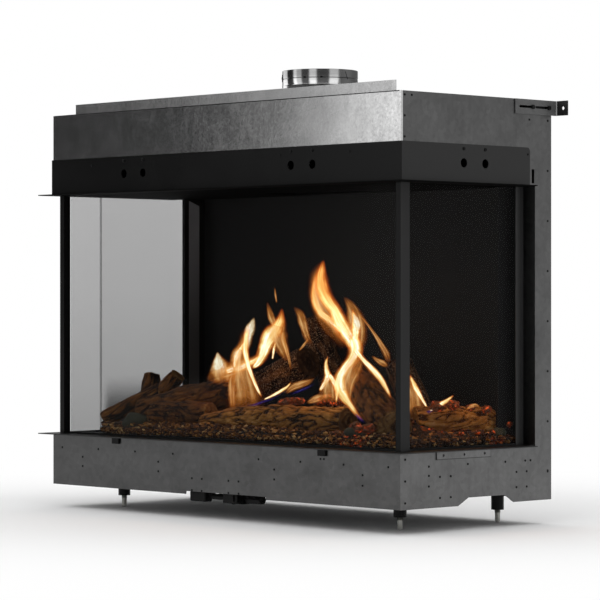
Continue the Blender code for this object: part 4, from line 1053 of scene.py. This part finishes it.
def buildBed():
    look = bedLook
    startModelling()
    bpy.ops.mesh.primitive_grid_add(x_subdivisions=look["cuts"][0], y_subdivisions=look["cuts"][1], size=1)
    piece = bpy.context.object
    bpy.ops.object.mode_set(mode="EDIT")
    bpy.ops.mesh.select_all(action="SELECT")
    bpy.ops.mesh.extrude_region_move(TRANSFORM_OT_translate={"value": (0, 0, 1)})
    bpy.ops.object.mode_set(mode="OBJECT")
    for point in piece.data.vertices:
        x = point.co.x * 2 * look["x"]
        y = look["front"] + (point.co.y + 0.5) * (look["back"] - look["front"])
        lack = -0.392 - x - (y - frontPlane - 0.030) / 0.99
        if lack > 0:  # draws the bare corner's points back to its slanting edge
            y = min(look["back"], y + lack * 0.99)
        point.co = (x, y, bedHeight(x, y) if point.co.z > 0.5 else look["foot"])
    bpy.ops.object.mode_set(mode="EDIT")
    bpy.ops.mesh.select_all(action="SELECT")
    bpy.ops.mesh.remove_doubles(threshold=0.0002)
    bpy.ops.mesh.normals_make_consistent(inside=False)
    bpy.ops.object.mode_set(mode="OBJECT")
    bpy.ops.object.shade_smooth_by_angle(angle=math.radians(60))
    for key in ("chipTone", "chipGlow"):
        row = piece.data.attributes.new(key, "FLOAT", "POINT")
        row.data.foreach_set("value", [0.35 if key == "chipTone" else 0.0] * len(piece.data.vertices))
    finishPiece(piece, "ember_bed_heap", ash, replaced=("ember_bed",))


chipLook = {
    "count": 6400,
    "frontCount": 2900,
    "sideCount": 900,
    "size": (0.0022, 0.0064),
    # glowing places in mm: X, world y, reach, strength
    "glow": [(100, -92, 30, 0.8), (177, -76, 30, 1.0), (213, -86, 22, 1.0), (340, -150, 40, 0.6),
             (368, -166, 30, 0.9), (395, 0, 60, 0.7), (430, 30, 50, 0.8), (455, 90, 40, 0.6),
             (-100, -150, 20, 0.8), (-330, -30, 20, 0.7), (60, -70, 40, 0.5)],
}


def chipShape(flat, seed):
    startModelling()
    bpy.ops.mesh.primitive_ico_sphere_add(subdivisions=1, radius=1)
    piece = bpy.context.object
    for point in piece.data.vertices:
        push = 1 + 0.45 * noise.noise(point.co * 1.3 + Vector((seed, seed * 0.5, 0)))
        point.co = (point.co.x * push * 1.15, point.co.y * push * 0.85, point.co.z * push * flat)
    return piece


def glowAt(x, y):
    best = 0.0
    for gx, gy, reach, power in chipLook["glow"]:
        away = math.hypot(x * 1000 - gx, y * 1000 - gy) / reach
        best = max(best, power * max(0.0, 1 - away * away))
    return best


def scatterChips():
    look = chipLook
    shapes = [chipShape(flat, seed) for flat, seed in ((0.45, 1), (0.28, 2), (0.50, 3), (0.62, 4),
                                                       (0.24, 5), (0.38, 6))]
    places, tones, glows = [], [], []
    while len(places) < look["count"]:
        front = len(places) < look["frontCount"]
        x = dice.uniform(-0.474, 0.474)
        y = dice.uniform(-0.172, -0.150) if front else dice.uniform(-0.171, 0.166)
        side = look["frontCount"] <= len(places) < look["frontCount"] + look["sideCount"]
        size = dice.uniform(*look["size"]) * (0.85 if front else 1.0)
        lift = dice.uniform(-0.010, 0.008) if front else dice.uniform(-0.001, 0.003)
        if front and lift < 0:  # these lie against the bed's front edge, close behind the glass
            y = dice.uniform(-0.1765, -0.1735)
        if side:  # and these against its ends, close behind the side panes
            x = math.copysign(dice.uniform(0.474, 0.4835), x)
            lift = dice.uniform(-0.010, 0.003)
        if bareCorner(x, y):
            continue
        spin = Matrix.Rotation(dice.uniform(0, 6.28), 4, "Z") @ Matrix.Rotation(dice.gauss(0, 0.8), 4, "X")
        z = bedHeight(min(0.4785, max(-0.4785, x)), y) + lift
        places.append(Matrix.Translation((x, y, z)) @ spin @ Matrix.Scale(size, 4))
        hot = glowAt(x, y)
        glows.append(hot if dice.random() < 0.30 + 0.4 * hot else 0.0)
        tones.append(min(1.0, max(0.05, dice.gauss(0.46 if front else 0.36, 0.28))))
    piece = joinCopies(shapes, places, {"chipTone": tones, "chipGlow": glows})
    finishPiece(piece, "ember_chips_loose", chips)


stoneTable = [  # place in mm, sizes in mm, turn
    ((-302, -160, 183), (30, 12, 20), 0.2), ((352, -161, 184), (32, 11, 13), 0.1),
    ((-374, -160, 172), (14, 9, 9), 0.5), ((466, 120, 178), (15, 13, 12), 1.2)]


def buildStones():
    shapes = []
    places = []
    for index, (spot, size, turn) in enumerate(stoneTable):
        startModelling()
        bpy.ops.mesh.primitive_ico_sphere_add(subdivisions=4, radius=1)
        piece = bpy.context.object
        for point in piece.data.vertices:
            n = noise.noise(point.co * 1.4 + Vector((index * 3.1, 0, 1)))
            facet = noise.cell(point.co * 1.1 + Vector((0, index * 1.7, 0)))
            point.co *= 1 + 0.25 * n + 0.05 * facet
        piece.data.transform(Matrix.Diagonal((*[s * millimetre for s in size], 1)))
        bpy.ops.object.shade_smooth_by_angle(angle=math.radians(40))
        shapes.append(piece)
        places.append(Matrix.Translation(Vector(spot) * millimetre) @ Matrix.Rotation(turn, 4, "Z"))
    finishPiece(joinCopies(shapes, places), "ember_bed_pebbles", stone)


emberTable = [  # glowing lumps: place in mm, size in mm, glow
    ((96, -92, 236), 13, 0.7), ((118, -88, 238), 10, 0.9), ((70, -88, 232), 11, 0.6),
    ((170, -80, 238), 12, 1.0), ((190, -76, 243), 12, 0.9), ((213, -84, 238), 9, 1.3),
    ((228, -80, 240), 10, 0.7), ((368, -168, 192), 9, 1.2), ((350, -158, 196), 12, 0.5),
    ((384, -158, 194), 13, 0.4), ((405, 10, 232), 14, 0.8), ((424, 34, 236), 13, 0.9),
    ((440, 66, 230), 8, 1.0), ((452, 100, 226), 10, 1.1), ((462, 150, 196), 10, 0.9),
    ((470, 60, 184), 7, 1.0), ((474, 92, 182), 6, 1.2), ((468, 10, 182), 6, 0.8),
    ((-92, -160, 181), 5, 1.2), ((238, -150, 182), 5, 1.0), ((300, -158, 183), 7, 0.8)]


def buildEmbers():
    shapes = []
    for index in range(len(emberTable)):
        startModelling()
        bpy.ops.mesh.primitive_ico_sphere_add(subdivisions=3, radius=1)
        piece = bpy.context.object
        for point in piece.data.vertices:
            n = noise.noise(point.co * 1.6 + Vector((index * 2.3, 5, 0)))
            m = noise.noise(point.co * 4.5 + Vector((index * 1.3, 2, 0)))
            point.co *= 1 + 0.4 * n + 0.16 * m
        shapes.append(piece)
    places = [Matrix.Translation(Vector(spot) * millimetre) @ Matrix.Rotation(i * 1.1, 4, "Z")
              @ Matrix.Diagonal((size * millimetre * 1.2, size * millimetre, size * millimetre * 0.75, 1))
              for i, (spot, size, _) in enumerate(emberTable)]
    piece = joinCopies(shapes, places, {"chipTone": [0.4] * len(places),
                                        "chipGlow": [row[2] for row in emberTable]})
    finishPiece(piece, "glowing_ember_lumps", chips)


buildBed()
scatterChips()
buildStones()
buildEmbers()
print("ember bed, chips and pebbles laid")


# Flames

# each row runs along one flame: X, back from the casing's front, z and half width, all in mm
flameTable = {
    "core": {
        "tallRight": [(297, 100, 338, 9.2), (286, 100, 358, 13.2), (267, 102, 377, 16.4),
                      (249, 104, 396, 15.2), (234, 105, 418, 12.0), (214, 105, 437, 12.4),
                      (200, 105, 457, 13.6), (193, 105, 480, 12.8), (198, 105, 506, 6.4),
                      (202, 105, 518, 1.6)],
        "tallLeft": [(265, 104, 371, 6.8), (241, 106, 388, 9.2), (214, 108, 401, 8.4),
                     (191, 108, 414, 7.6), (177, 108, 433, 7.6), (172, 108, 455, 6.8),
                     (174, 108, 475, 5.2), (180, 108, 494, 2.0)],
        "tallArm": [(292, 99, 350, 6.6), (296, 99, 366, 8.4), (298, 99, 381, 8.8),
                    (298, 99, 395, 7.6), (293, 99, 408, 5.0), (287, 99, 422, 1.2)],
        "trunk": [(284, 97, 373, 5.2), (295, 97, 358, 12.4), (299, 97, 342, 13.6), (290, 97, 325, 11.2),
                  (273, 96, 309, 9.6), (260, 95, 293, 10.0), (256, 94, 275, 12.0), (264, 92, 260, 12.0),
                  (286, 84, 246, 9.6), (311, 74, 233, 6.4), (338, 62, 220, 4.8), (365, 52, 209, 1.2)],
        "rightBlade": [(296, 96, 346, 5.0), (310, 95, 334, 5.6), (330, 92, 320, 5.0),
                       (361, 86, 302, 6.2), (391, 78, 283, 5.6), (414, 70, 265, 3.8),
                       (431, 62, 252, 1.0)],
        "smallLeft": [(200, 96, 260, 2.4), (212, 96, 274, 4.8), (223, 96, 288, 6.8), (220, 96, 302, 4.8),
                      (218, 96, 316, 3.6), (224, 96, 330, 0.8)],
        "smallRight": [(228, 94, 294, 3.2), (239, 94, 283, 6.0), (249, 94, 269, 6.0),
                       (250, 94, 254, 3.6), (248, 94, 236, 1.0)],
        "leftThread": [(13, 114, 243, 1.2), (0, 114, 259, 3.4), (-12, 114, 277, 4.4),
                       (-23, 114, 297, 5.0), (-31, 114, 317, 5.6), (-36, 114, 338, 6.4),
                       (-35, 114, 356, 6.4), (-31, 114, 374, 5.6), (-24, 114, 392, 1.2)],
        "leftLobeEdge": [(-68, 113, 300, 1.6), (-66, 113, 314, 4.8), (-58, 113, 329, 5.6),
                         (-46, 113, 343, 4.0), (-38, 113, 356, 1.2)],
        "midArch": [(-26, 124, 300, 2.0), (-10, 124, 311, 7.6), (4, 124, 328, 11.2),
                    (14, 124, 346, 13.6), (26, 124, 364, 16.0), (44, 124, 381, 14.8),
                    (57, 124, 399, 9.6), (62, 124, 423, 1.6)],
        "leftBanner": [(-111, 128, 291, 4.8), (-89, 128, 297, 8.0), (-65, 128, 301, 7.6),
                       (-41, 128, 309, 6.4), (-20, 128, 318, 5.2), (-2, 128, 331, 1.6)],
        "midThread": [(36, 122, 320, 1.6), (40, 122, 338, 2.8), (45, 122, 354, 1.6)],
        "edgeLine": [(36, 98, 239, 1.0), (57, 98, 246, 2.6), (83, 98, 256, 3.2), (104, 98, 266, 2.8),
                     (117, 98, 277, 1.0)],
        "paneEdge": [(373, 220, 230, 1.6), (356, 220, 250, 4.4), (340, 220, 271, 5.2),
                     (326, 220, 292, 2.0)],
        "paneLine": [(387, 214, 223, 1.6), (405, 214, 232, 3.6), (427, 214, 242, 4.4),
                     (451, 214, 256, 1.2)],
    },
    "veil": {
        "tallVeil": [(268, 112, 349, 16.0), (246, 112, 377, 22.0), (218, 112, 404, 24.0),
                     (195, 112, 431, 22.0), (184, 112, 459, 19.0), (181, 112, 487, 16.0),
                     (187, 112, 514, 4.0)],
        "armVeil": [(289, 108, 342, 12.0), (294, 108, 362, 16.0), (294, 108, 385, 17.0),
                    (286, 108, 408, 14.0), (272, 108, 430, 8.0), (256, 108, 445, 2.0)],
        "trunkVeil": [(280, 100, 237, 4.0), (275, 100, 256, 10.0), (278, 100, 278, 13.0),
                      (289, 100, 301, 15.0), (300, 100, 323, 13.0), (305, 100, 342, 4.0)],
        "smallBody": [(224, 98, 239, 18.0), (224, 98, 255, 17.0), (225, 98, 273, 12.0),
                      (225, 98, 288, 7.0), (221, 98, 306, 2.0)],
        "bannerBody": [(-122, 130, 266, 16.0), (-124, 130, 280, 26.0), (-128, 130, 299, 20.0),
                       (-135, 130, 315, 12.0), (-139, 130, 332, 1.6)],
        "leftBannerVeil": [(-138, 130, 282, 4.0), (-107, 130, 291, 16.0), (-67, 130, 302, 13.0),
                           (-31, 130, 315, 10.0), (-1, 130, 334, 2.0)],
        "leftLobe": [(-65, 120, 284, 12.0), (-68, 120, 304, 13.0), (-68, 120, 323, 12.0),
                     (-59, 120, 341, 9.0), (-47, 120, 358, 3.0)],
        "leftBody": [(-36, 118, 213, 36.0), (-39, 118, 236, 33.0), (-42, 118, 260, 27.0),
                     (-48, 118, 284, 20.0), (-51, 118, 309, 16.0), (-48, 118, 337, 12.0),
                     (-36, 118, 366, 12.0), (-24, 118, 394, 4.0)],
        "leftBodyEdge": [(-76, 116, 214, 5.0), (-78, 116, 235, 6.8), (-79, 116, 255, 7.2),
                         (-78, 116, 278, 6.8), (-67, 116, 298, 3.0)],
        "midBody": [(77, 126, 315, 4.0), (65, 126, 335, 11.0), (54, 126, 355, 15.0),
                    (48, 126, 375, 17.0), (55, 126, 395, 11.0), (61, 126, 421, 2.0)],
        "midRight": [(86, 126, 297, 1.6), (80, 126, 321, 3.4), (71, 126, 343, 4.6), (62, 126, 363, 5.2),
                     (59, 126, 385, 3.0)],
        "midTongue": [(55, 130, 363, 6.0), (43, 130, 381, 6.8), (29, 130, 397, 6.8), (20, 130, 413, 6.0),
                      (12, 130, 435, 1.6)],
        "midWisp": [(40, 130, 433, 1.2), (37, 130, 447, 1.8), (34, 130, 465, 0.6)],
        "farTongue": [(119, 150, 349, 4.0), (107, 150, 367, 6.8), (101, 150, 381, 7.2),
                      (95, 150, 395, 8.4), (87, 150, 411, 7.6), (69, 150, 425, 1.6)],
        "farThread": [(94, 140, 337, 1.4), (109, 140, 349, 2.6), (123, 140, 363, 1.4)],
        "violetCurl": [(94, 104, 252, 2.0), (112, 104, 264, 6.8), (135, 104, 271, 6.8),
                       (158, 104, 277, 5.6), (178, 104, 285, 1.2)],
        "emberFlame": [(162, 98, 236, 2.4), (181, 98, 242, 6.8), (201, 98, 248, 6.8),
                       (215, 98, 254, 1.6)],
        "rightSmall": [(271, 170, 329, 1.4), (288, 170, 320, 4.4), (304, 170, 314, 5.6),
                       (317, 170, 309, 2.0)],
        "rightHaze": [(316, 172, 316, 4.8), (309, 172, 334, 6.4), (294, 172, 353, 4.8),
                      (275, 172, 374, 2.8), (247, 172, 400, 1.8), (219, 172, 421, 0.8)],
        "paneFlame": [(330, 225, 213, 22.0), (330, 225, 235, 23.0), (327, 225, 258, 15.0),
                      (319, 225, 280, 8.0), (311, 225, 299, 2.0)],
        "paneCurl": [(436, 263, 225, 1.2), (449, 263, 232, 3.4), (463, 263, 235, 3.4),
                     (476, 263, 230, 1.2)],
    },
    "pale": {
        "uprightTop": [(-35, 119, 335, 2.4), (-35, 119, 351, 6.4), (-33, 119, 367, 8.6),
                       (-26, 119, 382, 9.0), (-20, 119, 394, 5.6), (-15, 119, 404, 1.0)],
        "bannerTip": [(-125, 127, 280, 10.0), (-128, 127, 295, 17.0), (-131, 127, 309, 12.0),
                      (-134, 127, 322, 6.0), (-136, 127, 332, 1.0)],
        "armTop": [(302, 98, 377, 3.0), (305, 98, 389, 6.0), (300, 98, 400, 6.0), (291, 98, 414, 1.2)],
        "lobe": [(-67, 117, 304, 2.4), (-67, 117, 319, 6.0), (-59, 117, 332, 7.2), (-47, 117, 345, 2.0)],
    },
    "base": {
        "blueLine": [(-71, 100, 216, 1.2), (-43, 100, 219, 2.4), (-7, 100, 224, 3.0),
                     (28, 100, 233, 2.6), (64, 100, 243, 2.2), (105, 100, 260, 1.4)],
        "violetTip": [(333, 62, 222, 2.0), (351, 56, 213, 3.6), (372, 50, 204, 1.6)],
        "violetGlow": [(104, 106, 250, 1.2), (127, 106, 257, 2.6), (153, 106, 265, 2.6),
                       (179, 106, 275, 1.0)],
        "paneBlue": [(332, 214, 204, 2.0), (357, 214, 212, 3.6), (384, 214, 221, 3.6),
                     (413, 214, 234, 1.8)],
    },
}
flameLook = {
    "core": {"colors": [(0.0, "#cc4410"), (0.18, "#ec7828"), (0.38, "#ffb45c"), (0.60, "#ffe294"),
                        (0.85, "#fff9e4")],
             "strength": 2.2, "cover": 1.25, "sharp": 1.15, "thin": 0.58, "full": 0.12,
             "cool": (0.36, 0.47, 0.62),
             "ends": [(0.0, 0.0), (0.08, 0.85), (0.45, 1.0), (0.85, 0.80), (1.0, 0.0)]},
    "veil": {"colors": [(0.0, "#b84c14"), (0.45, "#e8903c"), (0.8, "#ffc47c"), (1.0, "#ffd898")],
             "strength": 1.50, "cover": 0.78, "sharp": 1.15, "thin": 0.40, "full": 0.30,
             "ends": [(0.0, 0.0), (0.20, 0.75), (0.5, 1.0), (0.8, 0.75), (1.0, 0.0)]},
    "pale": {"colors": [(0.0, "#b87838"), (0.4, "#e4c490"), (0.8, "#eee8cc"), (1.0, "#f4f4e4")],
             "strength": 1.70, "cover": 1.25, "sharp": 1.1, "thin": 0.64, "full": 0.22,
             "ends": [(0.0, 0.0), (0.3, 0.9), (0.6, 1.0), (0.85, 0.7), (1.0, 0.0)]},
    "base": {"colors": [(0.0, "#140e48"), (0.5, "#281c80"), (1.0, "#6656bc")],
             "strength": 0.9, "cover": 0.75, "sharp": 1.1, "thin": 0.50, "full": 0.05,
             "ends": [(0.0, 0.0), (0.3, 1.0), (0.7, 1.0), (1.0, 0.0)]},
}


def flameFinish(name, look):
    # burning gas: gives its own light, thick in the middle of each tongue and clear at the edges
    material, tree, shader, place = newFinish(name)
    spread = addNode(tree, "UVMap", {"uv_map": "UVMap"}).outputs[0]
    wave = addNode(tree, "Mapping", None, {"Vector": spread, "Scale": (1.5, 3.0, 1.0)})
    wave = addNode(tree, "TexNoise", None, {"Vector": wave.outputs[0], "Scale": 2.0, "Detail": 3.0})
    axes = addNode(tree, "SeparateXYZ", None, {0: spread})
    side = addNode(tree, "MapRange", {"interpolation_type": "LINEAR", "clamp": False},
                   {"Value": axes.outputs["X"], "To Min": -1.0, "To Max": 1.0})
    push = addNode(tree, "MapRange", {"clamp": False},
                   {"Value": wave.outputs["Fac"], "From Min": 0.0, "From Max": 1.0, "To Min": -0.35,
                    "To Max": 0.35})
    side = addNode(tree, "Math", {"operation": "ADD"}, {0: side.outputs[0], 1: push.outputs[0]})
    side = addNode(tree, "Math", {"operation": "ABSOLUTE"}, {0: side.outputs[0]})
    body = addNode(tree, "MapRange", {"interpolation_type": "SMOOTHSTEP"},
                   {"Value": side.outputs[0], "From Min": 1.0, "From Max": look["full"]})
    ends = addNode(tree, "ValToRGB", {"stops": greyStops(look["ends"])}, {0: axes.outputs["Y"]})
    edge = addNode(tree, "MapRange", {"interpolation_type": "SMOOTHSTEP"},
                   {"Value": addNode(tree, "Math", {"operation": "PINGPONG"},
                                     {0: axes.outputs["X"], 1: 0.5}).outputs[0],
                    "From Min": 0.0, "From Max": 0.16})
    mask = addNode(tree, "Math", {"operation": "MULTIPLY"}, {0: body.outputs[0], 1: ends.outputs[0]})
    mask = addNode(tree, "Math", {"operation": "MULTIPLY"}, {0: mask.outputs[0], 1: edge.outputs[0]})
    mask = addNode(tree, "Math", {"operation": "POWER"}, {0: mask.outputs[0], 1: look["sharp"]})
    # thin bright threads that run up each tongue
    threads = addNode(tree, "Mapping", None, {"Vector": spread, "Scale": (5.0, 1.1, 1.0)})
    threads = addNode(tree, "TexNoise", None, {"Vector": threads.outputs[0], "Scale": 1.0,
                                               "Detail": 3.0, "Distortion": 0.9})
    threads = addNode(tree, "MapRange", None, {"Value": threads.outputs["Fac"], "From Min": 0.34,
                                               "From Max": 0.62, "To Min": look["thin"]})
    mask = addNode(tree, "Math", {"operation": "MULTIPLY"}, {0: mask.outputs[0], 1: threads.outputs[0]})
    heat = mask
    if "cool" in look:  # whitest low down, more orange towards the tips
        low, high, left = look["cool"]
        rise = addNode(tree, "SeparateXYZ", None, {0: place})
        rise = addNode(tree, "MapRange", {"interpolation_type": "SMOOTHSTEP"},
                       {"Value": rise.outputs["Z"], "From Min": low, "From Max": high, "To Min": 1.0,
                        "To Max": left})
        heat = addNode(tree, "Math", {"operation": "MULTIPLY"}, {0: mask.outputs[0], 1: rise.outputs[0]})
    color = addNode(tree, "ValToRGB", {"stops": [(w, linearColor(c)) for w, c in look["colors"]]},
                    {0: heat.outputs[0]})
    cover = addNode(tree, "Math", {"operation": "MULTIPLY"}, {0: mask.outputs[0], 1: look["cover"]})
    shader.inputs["Base Color"].default_value = (0, 0, 0, 1)
    shader.inputs["Specular IOR Level"].default_value = 0.0
    shader.inputs["Roughness"].default_value = 1.0
    shader.inputs["Emission Strength"].default_value = look["strength"]
    tree.links.new(color.outputs[0], shader.inputs["Emission Color"])
    tree.links.new(cover.outputs[0], shader.inputs["Alpha"])
    return material


def alongPath(rows, t):
    # a smooth point and half width at t from 0 to 1
    spot = t * (len(rows) - 1)
    i = min(int(spot), len(rows) - 2)
    f = spot - i
    a, b, c, d = (rows[max(0, min(len(rows) - 1, i + k))] for k in (-1, 0, 1, 2))
    return [0.5 * ((2 * q) + (r - p) * f + (2 * p - 5 * q + 4 * r - s) * f * f
                   + (3 * q - p - 3 * r + s) * f ** 3) for p, q, r, s in zip(a, b, c, d)]


def buildFlame(rows, turned):
    startModelling()
    bpy.ops.mesh.primitive_grid_add(x_subdivisions=10, y_subdivisions=8 * len(rows), size=1)
    piece = bpy.context.object
    sight = Vector((-0.7247, 0.6891, 0.0))  # the flames spread across this level direction
    for point in piece.data.vertices:
        u, t = point.co.x * 2, point.co.y + 0.5
        x, back, z, half = alongPath(rows, t)
        x2, back2, z2, _ = alongPath(rows, min(1.0, t + 0.02) if t < 0.98 else t - 0.02)
        run = Vector((x2 - x, back2 - back, z2 - z)) * (1 if t < 0.98 else -1)
        across = run.cross(sight).normalized()
        if turned:
            across = run.cross(across).normalized()
        bulge = run.cross(across).normalized() * (1 - u * u) * half * (0.0 if turned else 0.35)
        spot = Vector((x, back, z)) + across * u * max(0.4, half) * (0.8 if turned else 1.4) + bulge
        point.co = (spot.x * millimetre, frontPlane + spot.y * millimetre, spot.z * millimetre)
    bpy.ops.object.shade_smooth()
    return piece


def buildFlames():
    for kind, rows in flameTable.items():
        sheets = [buildFlame(path, turned) for path in rows.values() for turned in (False, True)]
        bpy.ops.object.select_all(action="DESELECT")
        for sheet in sheets:
            sheet.select_set(True)
        bpy.context.view_layer.objects.active = sheets[0]
        bpy.ops.object.join()
        sheets[0].visible_shadow = False
        finishPiece(sheets[0], "flame_" + kind, flameFinish("burning_gas_" + kind, flameLook[kind]))


fireLight = [((0.22, -0.10, 0.35), 0.55), ((-0.05, -0.10, 0.33), 0.50), ((0.462, -0.02, 0.31), 0.44),
             ((0.472, 0.07, 0.275), 0.13)]


def buildFireLight():
    for index, (spot, power) in enumerate(fireLight):
        bpy.ops.object.light_add(type="SPOT", location=spot)  # shines down, so the walls stay black
        lamp = bpy.context.object
        lamp.data.spot_size = math.radians(150)
        lamp.data.spot_blend = 1.0
        lamp.name = "fire_light_%d" % index
        lamp.data.energy = power
        lamp.data.color = linearColor("#ffb070")[:3]
        lamp.data.shadow_soft_size = 0.05


buildFlames()
buildFireLight()
print("flames built")
